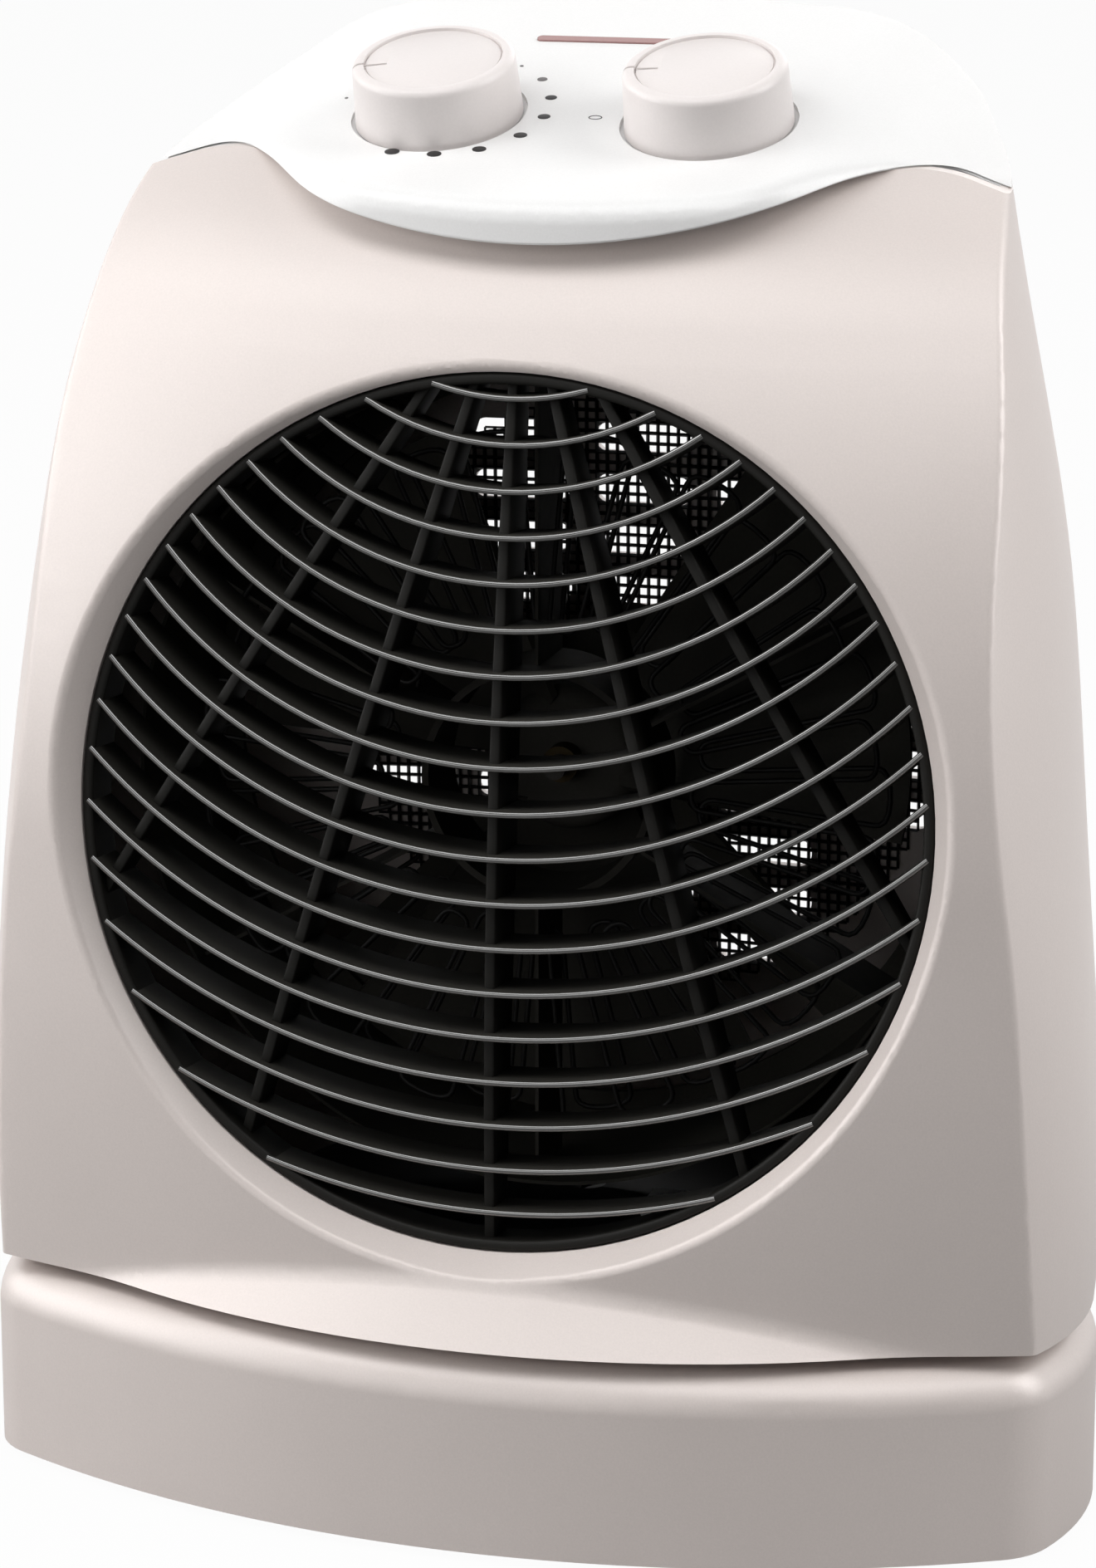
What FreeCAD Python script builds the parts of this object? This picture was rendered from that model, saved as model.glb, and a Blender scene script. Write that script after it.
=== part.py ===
"""Oscillating electric fan heater, in millimetres.

The origin is the centre of the base on the floor, which is also on the axis that the head
swings about. +Z is up and the air grille faces -Y.
"""
import FreeCAD, Part
import math
import os
import Sketcher

SIZES = {
    # stand: base shell, floor plate and feet
    "foot_drop": 2.0, "foot_radius": 8.0, "foot_recess": 0.8, "foot_side_inset": 36.2, "foot_spread_y": 46.0,
    "base_height": 43.5, "base_wall": 2.5, "base_margin": 1.0, "base_edge_round": 9.0,
    "base_corner_round": 17.0, "base_front_radius": 249.0, "base_back": 84.0,
    "base_plate_thickness": 3.0, "plate_clearance": 0.3,
    "swing_gap": 3.0, "glide_clearance": 0.25, "glide_radius": 5.0, "glide_circle": 58.0,
    # head plan: half width and widest place at several heights above the head's bottom
    "half_width_bottom": 127.2, "half_width_low": 127.0, "half_width_waist": 122.8,
    "half_width_chest": 115.5, "half_width_brow": 107.0, "half_width_shoulder": 100.4,
    "half_width_top": 93.0,
    "level_low": 53.0, "level_waist": 106.0, "level_chest": 172.0, "level_brow": 213.0,
    "level_shoulder": 240.0, "level_top": 285.0,
    "widest_y_low": -20.0, "widest_y_chest": -13.0, "widest_y_brow": -9.0, "widest_y_top": -2.0,
    "side_round": 75.0, "side_front_angle": 42.0, "side_rear_angle": 20.0, "section_front": 118.0,
    "back_corner_round": 30.0, "back_bow_angle": 10.0, "head_back_bottom": 78.0, "head_back_top": 67.0,
    # face: side profile swept about an upright axis behind the heater
    "face_front": 75.4, "face_sweep_radius": 380.0, "face_sweep_angle": 34.0,
    "face_low_radius": 550.0, "face_high_radius": 225.0, "waist_low": 70.0, "waist_high": 100.0,
    "brow_start_angle": 31.9, "brow_radius": 80.0, "brow_end_angle": 60.0,
    # chin ledge above the swing gap
    "chin_front": 83.0, "chin_radius": 192.0, "chin_setback": 0.87, "chin_height": 16.0,
    # casing shell
    "case_wall": 2.5, "split_y": 10.0, "crease_round": 2.5, "chin_round": 6.0,
    # control panel: bell-shaped roof that rises to the back, with a rounded nose
    "panel_slope": 19.35, "panel_ref_y": 5.7, "panel_ref_height": 259.0, "panel_wall": 2.5,
    "bell_flat": 46.0, "bell_round": 60.0, "bell_angle": 28.0, "shoulder_round": 50.0,
    "shoulder_angle": 8.0, "nose_front": 36.0, "nose_radius": 160.0, "nose_arc_angle": 14.0,
    "nose_corner_radius": 34.0, "nose_flank_angle": 50.0, "nose_flank_length": 28.0,
    "nose_flank_fillet": 14.0, "shoulder_sweep": 5.0, "nose_edge_round": 6.0, "nose_edge_band": 7.5,
    "nose_depth": 11.5,
    "seam_height": 236.0, "seam_sag_radius": 170.0, "seam_rise_angle": 21.0,
    "seam_peak_radius": 45.0, "seam_fall_angle": 17.0, "seam_gap": 0.4,
    # grille and the mouth of the casing
    "grille_radius": 96.6, "grille_centre_y": -54.9, "grille_centre_height": 113.4,
    "grille_tilt": 6.0, "grille_clearance": 0.3, "grille_rim": 2.4, "grille_depth": 12.0,
    "grille_dome": 7.0, "slat_count": 19.0, "slat_first_drop": 5.4, "slat_pitch": 9.95,
    "slat_thickness": 1.5, "slat_first_radius": 60.0, "slat_radius_step": 6.6,
    "rib_count": 5.0, "rib_width": 2.4, "rib_recess": 3.0, "rib_focus": 27.7, "rib_spread": 16.0,
    "mouth_flare": 4.6, "mouth_depth": 7.0, "mouth_edge_round": 2.2, "collar_wall": 3.0,
    "collar_depth": 15.0,
    # fan, motor and their frame, on a level axis through the middle of the grille
    "frame_front_y": 22.0, "frame_thickness": 2.0, "frame_outer_radius": 104.0,
    "frame_inner_radius": 86.0, "post_offset": 69.5, "post_radius": 5.0,
    "spider_thickness": 3.0, "spider_arm": 11.0, "spider_hub_radius": 27.0,
    "motor_radius": 25.0, "motor_length": 30.0, "motor_wall": 1.2, "stator_inner": 14.5,
    "stator_length": 18.0, "stator_end_gap": 5.0, "rotor_gap": 0.5, "shaft_radius": 2.5,
    "shaft_fit": 0.05, "bearing_radius": 6.0, "bearing_length": 4.0, "shaft_front": 32.0,
    "fan_radius": 80.0, "fan_hub_radius": 17.0, "fan_hub_length": 16.0, "fan_hub_round": 4.0, "fan_gap": 6.0,
    "blade_count": 3.0, "blade_root_pitch": 40.0, "blade_tip_pitch": 10.0, "blade_root_chord": 28.0,
    "blade_root_radius": 10.2, "blade_tip_chord": 112.0, "blade_thickness": 2.0, "blade_start_turn": -25.0,
    "nut_radius": 4.2, "nut_length": 5.0,
    # heater: steel sleeve, mica star and one daisy winding
    "sleeve_radius": 92.0, "sleeve_wall": 0.8, "sleeve_length": 50.0, "mica_count": 6.0,
    "mica_thickness": 0.8, "mica_depth": 20.0, "mica_front_y": -24.0, "mica_ring_radius": 27.0,
    "mica_ring_wall": 1.6, "mica_clearance": 0.3, "winding_loops": 18.0, "winding_outer": 80.0,
    "winding_inner": 34.0, "wire_radius": 0.8, "wire_lift": 0.3,
    "cutout_length": 14.0, "cutout_width": 10.0, "cutout_height": 6.0, "cutout_lift": 0.3, "cutout_y": -11.0,
    # knobs, switches and lamp under the panel
    "knob_spread": 31.1, "knob_foot_radius": 18.9, "knob_top_radius": 18.2, "knob_height": 13.5,
    "knob_dish_radius": 15.2, "knob_dish_depth": 1.0, "knob_edge": 1.2, "knob_wall": 2.0,
    "knob_boss_radius": 6.0, "thermostat_rest_turn": 16.0, "mode_rest_turn": 7.0,
    "notch_length": 8.0, "notch_width": 0.9, "notch_depth": 0.5, "well_radius": 19.9,
    "well_depth": 1.2, "well_gap": 0.4,
    "spindle_radius": 3.0, "spindle_length": 20.0, "spindle_fit": 0.05, "panel_hole_radius": 3.4,
    "switch_width": 28.0, "switch_height": 15.0, "switch_lift": 0.3,
    "lens_length": 38.0, "lens_width": 2.4, "lens_y": 40.0, "lens_fit": 0.1, "lens_depth": 4.5,
    "lens_proud": 0.4, "lamp_radius": 2.2, "lamp_length": 14.0, "lamp_gap": 0.3,
    # swing drive: spigot, bush, crank and slot
    "spigot_radius": 8.0, "spigot_bore": 5.0, "bush_fit": 0.06, "bush_wall": 2.0,
    "bush_length": 8.0, "bush_flange_radius": 12.0, "bush_flange": 1.2, "bush_press": 0.05,
    "spigot_tail": 2.0, "clip_gap": 0.3, "clip_thickness": 1.6, "clip_radius": 11.5,
    "clip_depth": 1.2, "clip_mouth": 5.6,
    "crank_offset": 38.0, "crank_throw": 19.0, "pin_radius": 3.0, "slot_clearance": 1.7,
    "crank_eye_radius": 5.0, "crank_hub_radius": 6.5, "crank_thickness": 3.5, "crank_room": 1.0,
    "crank_arm_width": 8.0,
    "crank_drop": 0.5, "crank_shaft_radius": 2.5, "crank_shaft_length": 14.0,
    "crank_shaft_fit": 0.05,
    "turntable_radius": 73.0, "turntable_screw_circle": 69.5, "turntable_screw_count": 6.0,
    "turntable_boss": 65.5, "turntable_thickness": 3.0,
    "turntable_opening": 66.0, "swing_motor_radius": 24.0, "swing_motor_height": 18.0,
    "swing_ear_spread": 31.0, "swing_ear_radius": 5.5, "swing_ear_thickness": 1.5,
    "swing_post_radius": 4.0, "swing_nose_height": 2.3, "swing_motor_drop": 7.0,
    # tip-over switch and cable gland
    "tip_side_inset": 70.2, "tip_y": -22.0, "plunger_stem": 3.0, "plunger_foot": 6.0,
    "plunger_foot_height": 1.4, "plunger_lift": 0.15, "plunger_length": 16.0, "plunger_fit": 0.3,
    "guide_wall": 2.2, "guide_height": 8.0, "tip_switch_length": 20.0, "tip_switch_width": 8.0,
    "tip_switch_height": 11.0, "tip_switch_gap": 0.3,
    "gland_share": 0.4875, "gland_height": 16.0, "gland_radius": 7.0, "gland_bore": 3.6,
    "gland_length": 13.0, "gland_flange_radius": 9.5, "gland_flange": 2.0, "gland_fit": 0.1,
    "gland_margin": 0.6, "gland_flange_back": 8.0,
    # fasteners
    "screw_radius": 1.5, "screw_head_radius": 3.2, "screw_head": 2.0, "screw_fit": 0.12,
    "screw_length": 10.0, "boss_radius": 5.0, "base_boss_inset": 28.2, "base_boss_y": 20.0,
    "counterbore_depth": 1.8, "counterbore_fit": 0.3, "case_boss_low_inset": 27.0,
    "case_boss_low_height": 24.0,
    "case_boss_high_inset": 23.0, "case_boss_high_height": 212.0, "boss_web": 10.0,
    "boss_counterbore": 3.8,
    # air intake in the back
    "intake_slot": 24.0, "intake_slot_height": 7.0, "intake_pitch_x": 30.0, "intake_pitch_z": 12.5,
    "intake_radius": 78.0,
    # wiring block on the turntable
    "terminal_x": 36.0, "terminal_y": -12.0, "terminal_length": 26.0, "terminal_width": 12.0,
    "terminal_height": 9.0,
}

doc = FreeCAD.newDocument("fan_heater")
sheet = doc.addObject("Spreadsheet::Sheet", "sizes")
for row, (size_name, size_value) in enumerate(SIZES.items(), start=1):
    sheet.set("A%d" % row, size_name)
    sheet.set("B%d" % row, repr(size_value))
    sheet.setAlias("B%d" % row, size_name)
doc.recompute()


class Size:
    """A length or angle that knows its value and the sheet expression that it comes from."""

    def __init__(self, value, text):
        self.value = value
        self.text = text

    def join(self, other, sign, value):
        text = other.text if isinstance(other, Size) else repr(float(other))
        return Size(value, "(%s %s %s)" % (self.text, sign, text))

    def __add__(self, other):
        return self.join(other, "+", self.value + float(other))

    def __sub__(self, other):
        return self.join(other, "-", self.value - float(other))

    def __mul__(self, other):
        return self.join(other, "*", self.value * float(other))

    def __truediv__(self, other):
        return self.join(other, "/", self.value / float(other))

    def __neg__(self):
        return Size(-self.value, "(0 - %s)" % self.text)

    def __float__(self):
        return float(self.value)


def size(name):
    """A named size with its expression."""
    return Size(float(sheet.get(name)), "sizes." + name)


def num(name):
    """A named size as a plain number."""
    return float(sheet.get(name))


def vec(x, y, z):
    return FreeCAD.Vector(float(x), float(y), float(z))


UP = vec(0, 0, 1)
BACK = vec(0, 1, 0)
RIGHT = vec(1, 0, 0)
FAR = 400.0
OVERSIZE = 1.5
OVERCUT = 1.0
NEAR = 0.03
NO_SIZE = Size(0.0, "0")

head_bottom = size("foot_drop") + size("base_height") + size("swing_gap")
base_top = size("foot_drop") + size("base_height")
floor_top = head_bottom + size("case_wall")
fan_axis_z = head_bottom + size("grille_centre_height")
HEAD = float(head_bottom)
sub_parts = []


def level(height):
    """A height above the head's bottom, in the model."""
    return HEAD + height


def keep(obj, label):
    """Names a finished sub-part."""
    obj.Label = label
    sub_parts.append(obj)
    return obj


def feature(label, shape):
    """A sub-part whose solid comes from surfaces and booleans."""
    obj = doc.addObject("Part::Feature", label)
    obj.Shape = shape
    return keep(obj, label)


def bind_place(obj, x, y, z):
    """Ties a sub-part's place to the sheet."""
    for axis, place in zip("xyz", (x, y, z)):
        obj.setExpression("Placement.Base." + axis, place.text)


def bar(radius, length, base, axis=UP):
    return Part.makeCylinder(float(radius), float(length), base, axis)


def box(x0, x1, y0, y1, z0, z1):
    return Part.makeBox(float(x1 - x0), float(y1 - y0), float(z1 - z0), vec(x0, y0, z0))


def join(shapes):
    """One solid from several that touch."""
    return shapes[0].multiFuse(list(shapes[1:])).removeSplitter()


def arc(start, middle, end):
    return Part.Arc(start, middle, end).toShape()


def line(start, end):
    return Part.LineSegment(start, end).toShape()


def mirrored(points):
    return [vec(-p.x, p.y, p.z) for p in points]


def sketch_on(body, role, name):
    """An empty sketch on one of the body's own origin planes."""
    plane = next(f for f in body.Origin.OriginFeatures if f.Role == role)
    sketch = body.newObject("Sketcher::SketchObject", name)
    sketch.AttachmentSupport = [(plane, "")]
    sketch.MapMode = "FlatFace"
    return sketch


def outline(sketch, corners):
    """A closed outline of straight edges, each corner tied to the sheet."""
    count = len(corners)
    points = [vec(float(x), float(y), 0) for x, y in corners]
    for i in range(count):
        sketch.addGeometry(Part.LineSegment(points[i], points[(i + 1) % count]), False)
    for i in range(count):
        sketch.addConstraint(Sketcher.Constraint("Coincident", i, 2, (i + 1) % count, 1))
    for i, (x, y) in enumerate(corners):
        for kind, axis, place in (("DistanceX", -2, x), ("DistanceY", -1, y)):
            if place is NO_SIZE:
                sketch.addConstraint(Sketcher.Constraint("PointOnObject", i, 1, axis))
                continue
            index = sketch.addConstraint(Sketcher.Constraint(kind, -1, 1, i, 1, float(place)))
            sketch.setExpression("Constraints[%d]" % index, place.text)


def turned(label, corners):
    """A body of revolution about its own Z axis, from corners given as (radius, height)."""
    body = doc.addObject("PartDesign::Body", label)
    sketch = sketch_on(body, "XZ_Plane", label + "_profile")
    outline(sketch, corners)
    spin = body.newObject("PartDesign::Revolution", label + "_spin")
    spin.Profile = sketch
    spin.ReferenceAxis = (sketch, ["V_Axis"])
    spin.Angle = 360.0
    doc.recompute()
    return keep(body, label)


def side_section(z, half_width, widest_y, back, inset):
    """The plan at one height: tangent lines and arcs, drawn in by an inset."""
    side_radius = num("side_round") - inset
    corner_radius = num("back_corner_round") - inset
    front_turn = math.radians(num("side_front_angle"))
    rear_turn = math.radians(num("side_rear_angle"))
    bow = math.radians(num("back_bow_angle"))
    side_x = half_width - num("side_round")
    back_y = back - inset

    def on_side(turn):
        return vec(side_x + side_radius * math.cos(turn), widest_y + side_radius * math.sin(turn), z)

    arc_front = on_side(-front_turn)
    arc_back = on_side(rear_turn)
    front_y = -num("section_front")
    run = (arc_front.y - front_y) / math.cos(front_turn)
    front = vec(arc_front.x - run * math.sin(front_turn), front_y, z)
    reach = side_x * math.cos(rear_turn) + widest_y * math.sin(rear_turn) + side_radius
    corner_x = (reach - corner_radius - (back_y - corner_radius) * math.sin(rear_turn)) / (
        math.cos(rear_turn) - math.sin(rear_turn) * math.tan(bow / 2))
    corner_y = back_y - corner_x * math.tan(bow / 2) - corner_radius

    def on_corner(turn):
        return vec(corner_x + corner_radius * math.cos(turn), corner_y + corner_radius * math.sin(turn), z)

    corner_start = on_corner(rear_turn)
    corner_end = on_corner(math.pi / 2 - bow)
    corner_middle = on_corner((rear_turn + math.pi / 2 - bow) / 2)
    right = [front, arc_front, on_side(0), arc_back, corner_start, corner_middle, corner_end]
    left = mirrored(right)
    edges = [line(left[0], right[0]), line(right[0], right[1]), arc(*right[1:4]), line(right[3], right[4]),
             arc(*right[4:7]), arc(right[6], vec(0, back_y, z), left[6]), arc(left[6], left[5], left[4]),
             line(left[4], left[3]), arc(left[3], left[2], left[1]), line(left[1], left[0])]
    return Part.Wire(edges)


def head_sides(inset):
    """The head's sides and back, lofted through its plans."""
    low_y, chest_y = num("widest_y_low"), num("widest_y_chest")
    brow_y, top_y = num("widest_y_brow"), num("widest_y_top")
    plans = [(0.0, "half_width_bottom", low_y), (num("level_low"), "half_width_low", low_y),
             (num("level_waist"), "half_width_waist", low_y),
             (num("level_chest"), "half_width_chest", chest_y),
             (num("level_brow"), "half_width_brow", brow_y),
             (num("level_shoulder"), "half_width_shoulder", top_y),
             (num("level_top"), "half_width_top", top_y)]
    lean = (num("head_back_top") - num("head_back_bottom")) / num("level_top")
    back = num("head_back_bottom")
    wires = [side_section(level(height), num(width), y, back + lean * height, inset)
             for height, width, y in plans]
    return Part.makeLoft(wires, True, False)


def face_solid(inset):
    """All that lies behind the face: its profile swept about the upright axis."""
    low_radius = num("face_low_radius")
    high_radius = num("face_high_radius")
    brow_radius = num("brow_radius")
    turn = math.radians(num("brow_start_angle"))
    end_turn = math.radians(num("brow_end_angle"))
    low_centre = (low_radius - num("face_front"), level(num("waist_low")))
    high_centre = (high_radius - num("face_front"), level(num("waist_high")))
    brow_centre = (high_centre[0] - (high_radius - brow_radius) * math.cos(turn),
                   high_centre[1] + (high_radius - brow_radius) * math.sin(turn))

    def on_arc(centre, radius, angle):
        reach = radius - inset
        return vec(0, centre[0] - reach * math.cos(angle), centre[1] + reach * math.sin(angle))

    foot_turn = -math.asin(num("waist_low") / (low_radius - inset))
    foot = on_arc(low_centre, low_radius, foot_turn)
    waist_low = on_arc(low_centre, low_radius, 0)
    waist_high = on_arc(high_centre, high_radius, 0)
    brow_start = on_arc(high_centre, high_radius, turn)
    brow_end = on_arc(brow_centre, brow_radius, end_turn)
    top_run = num("level_top") / 2
    top = brow_end + vec(0, math.sin(end_turn), math.cos(end_turn)) * top_run
    back_y = num("base_back") + top_run
    edges = [arc(foot, on_arc(low_centre, low_radius, foot_turn / 2), waist_low), line(waist_low, waist_high),
             arc(waist_high, on_arc(high_centre, high_radius, turn / 2), brow_start),
             arc(brow_start, on_arc(brow_centre, brow_radius, (turn + end_turn) / 2), brow_end),
             line(brow_end, top), line(top, vec(0, back_y, top.z)), line(vec(0, back_y, top.z),
             vec(0, back_y, foot.z)), line(vec(0, back_y, foot.z), foot)]
    profile = Part.Face(Part.Wire(edges))
    axis_foot = vec(0, num("face_sweep_radius") - num("face_front"), 0)
    half = num("face_sweep_angle")
    profile.rotate(axis_foot, UP, -half)
    return profile.revolve(axis_foot, UP, 2 * half)


def chin_solid(inset):
    """The sloping ledge under the mouth, part of a wide cone."""
    setback = num("chin_setback")
    radius = num("chin_radius") - inset * math.sqrt(1 + setback ** 2)
    height = num("chin_height")
    centre = vec(0, num("chin_radius") - num("chin_front"), HEAD)
    return Part.makeCone(radius, radius - setback * height, height, centre, UP)


def head_solid(inset, floor):
    """The head without its roof, drawn in by an inset and cut off at a floor."""
    front = face_solid(inset).fuse(chin_solid(inset))
    whole = head_sides(inset).common(front)
    return whole.cut(box(-FAR, FAR, -FAR, FAR, -FAR, HEAD + floor)) if floor > 0 else whole


def seam_side(lift):
    """What lies under the seam between casing and panel, as seen from the front."""
    rise = math.radians(num("seam_rise_angle"))
    fall = math.radians(num("seam_fall_angle"))
    sag, peak = num("seam_sag_radius"), num("seam_peak_radius")
    base = level(num("seam_height")) + lift
    join_x = sag * math.sin(rise)
    join_z = base + sag * (1 - math.cos(rise))
    peak_x = join_x + peak * math.sin(rise)
    peak_z = join_z - peak * math.cos(rise)

    def on_peak(turn):
        return vec(peak_x + peak * math.sin(turn), -FAR, peak_z + peak * math.cos(turn))

    low = level(0) - FAR
    middle = vec(0, -FAR, base)
    right = [vec(join_x, -FAR, join_z), on_peak(0), on_peak(fall)]
    side_x = num("half_width_bottom") * OVERSIZE
    edge = vec(side_x, -FAR, right[2].z - (side_x - right[2].x) * math.tan(fall))
    foot = vec(side_x, -FAR, low)
    left = mirrored(right)
    edge_left, foot_left = mirrored([edge, foot])
    edges = [arc(left[0], middle, right[0]), arc(*right), line(right[2], edge), line(edge, foot),
             line(foot, foot_left), line(foot_left, edge_left), line(edge_left, left[2]),
             arc(left[2], left[1], left[0])]
    return Part.Face(Part.Wire(edges)).extrude(vec(0, 2 * FAR, 0))


def roof_solid(drop):
    """What lies under the bell-shaped roof, lowered by a drop."""
    slope = math.tan(math.radians(num("panel_slope")))
    turn = math.radians(num("bell_angle"))
    end_turn = math.radians(num("shoulder_angle"))
    bell, shoulder = num("bell_round"), num("shoulder_round")
    start_y = -num("base_back")
    top = level(num("panel_ref_height")) + (start_y - num("panel_ref_y")) * slope - drop

    def on_bell(angle):
        return vec(num("bell_flat") + bell * math.sin(angle), start_y, top - bell * (1 - math.cos(angle)))

    joint = on_bell(turn)

    def on_shoulder(angle):
        return vec(joint.x + shoulder * (math.sin(turn) - math.sin(angle)), start_y,
                   joint.z - shoulder * (math.cos(angle) - math.cos(turn)))

    shoulder_end = on_shoulder(end_turn)
    side_x = num("half_width_bottom") * OVERSIZE
    edge = vec(side_x, start_y, shoulder_end.z - (side_x - shoulder_end.x) * math.tan(end_turn))
    foot = vec(side_x, start_y, top - num("level_waist"))
    right = [on_bell(0), on_bell(turn / 2), joint, on_shoulder((turn + end_turn) / 2), shoulder_end,
             edge, foot]
    left = mirrored(right)
    edges = [line(left[0], right[0]), arc(*right[0:3]), arc(*right[2:5]), line(right[4], edge),
             line(edge, foot), line(foot, left[6]), line(left[6], left[5]), line(left[5], left[4]),
             arc(left[4], left[3], left[2]), arc(left[2], left[1], left[0])]
    depth = 2 * OVERSIZE * num("base_back")
    return Part.Face(Part.Wire(edges)).extrude(vec(0, depth, depth * slope))


def panel_plan(inset):
    """The control panel's plan, drawn in by an inset: a broad nose between drawn-back shoulders."""
    turn = math.radians(num("nose_arc_angle"))
    flank = math.radians(num("nose_flank_angle"))
    sweep = math.radians(num("shoulder_sweep"))
    nose = num("nose_radius") - inset
    corner = num("nose_corner_radius") - inset
    fillet = num("nose_flank_fillet") + inset
    z = level(num("level_waist"))
    nose_y = num("nose_radius") - num("nose_front")

    def on_nose(angle):
        return vec(nose * math.sin(angle), nose_y - nose * math.cos(angle), z)

    start = on_nose(turn)
    corner_x = start.x - corner * math.sin(turn)
    corner_y = start.y + corner * math.cos(turn)

    def on_corner(angle):
        return vec(corner_x + corner * math.sin(angle), corner_y - corner * math.cos(angle), z)

    flank_start = on_corner(flank)
    flank_end = flank_start + vec(math.cos(flank), math.sin(flank), 0) * num("nose_flank_length")

    def on_fillet(angle):
        return flank_end + vec(fillet * (math.sin(flank) - math.sin(angle)),
                               fillet * (math.cos(angle) - math.cos(flank)), 0)

    shoulder = on_fillet(sweep)
    side_x = num("half_width_bottom")
    edge = vec(side_x, shoulder.y + (side_x - shoulder.x) * math.tan(sweep), z)
    back = vec(side_x, num("base_back") * OVERSIZE, z)
    right = [start, on_corner((turn + flank) / 2), flank_start, flank_end,
             on_fillet((flank + sweep) / 2), shoulder, edge, back]
    left = mirrored(right)
    edges = [arc(left[0], on_nose(0), right[0]), arc(*right[0:3]), line(right[2], right[3]), arc(*right[3:6]),
             line(right[5], edge), line(edge, back), line(back, left[7]), line(left[7], left[6]),
             line(left[6], left[5]), arc(left[5], left[4], left[3]), line(left[3], left[2]),
             arc(left[2], left[1], left[0])]
    return Part.Face(Part.Wire(edges)).extrude(vec(0, 0, FAR))


tilt = math.radians(num("grille_tilt"))
grille_out = vec(0, -math.cos(tilt), math.sin(tilt))
grille_centre = vec(0, num("grille_centre_y"), float(fan_axis_z))
grille_frame = FreeCAD.Placement(grille_centre, FreeCAD.Rotation(RIGHT, 90 - num("grille_tilt")))
knob_turn = FreeCAD.Rotation(RIGHT, num("panel_slope"))
panel_out = knob_turn.multVec(UP)
panel_back = knob_turn.multVec(BACK)
panel_point = vec(0, num("panel_ref_y"), level(num("panel_ref_height")))


def on_panel(x, along, out):
    """A point by its place on the panel's sloping top and its height out of it."""
    return panel_point + vec(x, 0, 0) + panel_back * float(along) + panel_out * float(out)


def case_bosses():
    """The places of the four casing screws, as x and height."""
    low = (num("half_width_low") - num("case_boss_low_inset"), level(num("case_boss_low_height")))
    high = (num("half_width_brow") - num("case_boss_high_inset"), level(num("case_boss_high_height")))
    return [(side * x, z) for x, z in (low, high) for side in (-1, 1)]


def frame_posts():
    """The places of the four posts that carry the fan frame, as x and height."""
    offset = num("post_offset")
    return [(sx * offset, float(fan_axis_z) + sz * offset) for sx in (-1, 1) for sz in (-1, 1)]


def surface_kinds(shape, edge):
    """The kinds of surface that meet at an edge of a shape."""
    return sorted(type(face.Surface).__name__ for face in shape.ancestorsOfType(edge, Part.Face))


def is_crease(head, edge):
    """A long edge where the head's face meets its side."""
    kinds = surface_kinds(head, edge)
    beside = kinds.count("BSplineSurface") == 1 and "Plane" not in kinds
    return beside and edge.BoundBox.Center.y < split * 2 and edge.Length > num("chin_round")


def is_chin(head, edge):
    """The edge where the chin ledge runs into the face."""
    return surface_kinds(head, edge) == ["Cone", "SurfaceOfRevolution"] and edge.BoundBox.Center.y < 0


def rounded_head():
    """The head's outside with a soft hollow over the chin and soft creases beside the face."""
    head = head_solid(0.0, 0.0)
    head = head.makeFillet(num("chin_round"), [edge for edge in head.Edges if is_chin(head, edge)])
    return head.makeFillet(num("crease_round"), [edge for edge in head.Edges if is_crease(head, edge)])


split = num("split_y")
head_outer = rounded_head()
head_inner = head_solid(num("case_wall"), num("case_wall"))
under_seam = seam_side(0.0)
front_half = box(-FAR, FAR, -FAR, split, -FAR, FAR)
back_half = box(-FAR, FAR, split, FAR, -FAR, FAR)
screw_hole = num("screw_radius") + num("screw_fit")


def turntable_screw_places():
    circle, count = num("turntable_screw_circle"), int(num("turntable_screw_count"))
    turns = [(k + 0.5) * 360 / count for k in range(count)]
    return [(circle * math.cos(math.radians(turn)), circle * math.sin(math.radians(turn)))
            for turn in turns]


def turntable_hole():
    """The opening for the turntable's boss in the casing's floor, with its ring of screw holes."""
    depth, start = num("case_wall") * 2, HEAD - num("case_wall") / 2
    holes = [bar(screw_hole, depth, vec(x, y, start)) for x, y in turntable_screw_places()]
    return Part.Compound([bar(num("turntable_opening"), depth, vec(0, 0, start))] + holes)


def casing_screw_heights():
    """The y places of a casing screw's head and tip."""
    head = split + num("boss_web")
    return head, head - num("screw_length") * 2


def hollow_half(half, left_full):
    """Half of the head's shell, with the bosses, posts or collar that its hollow leaves standing."""
    hollow = head_inner.common(half)
    for solid in left_full:
        hollow = hollow.cut(solid)
    return head_outer.common(under_seam).common(half).cut(hollow)


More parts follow.
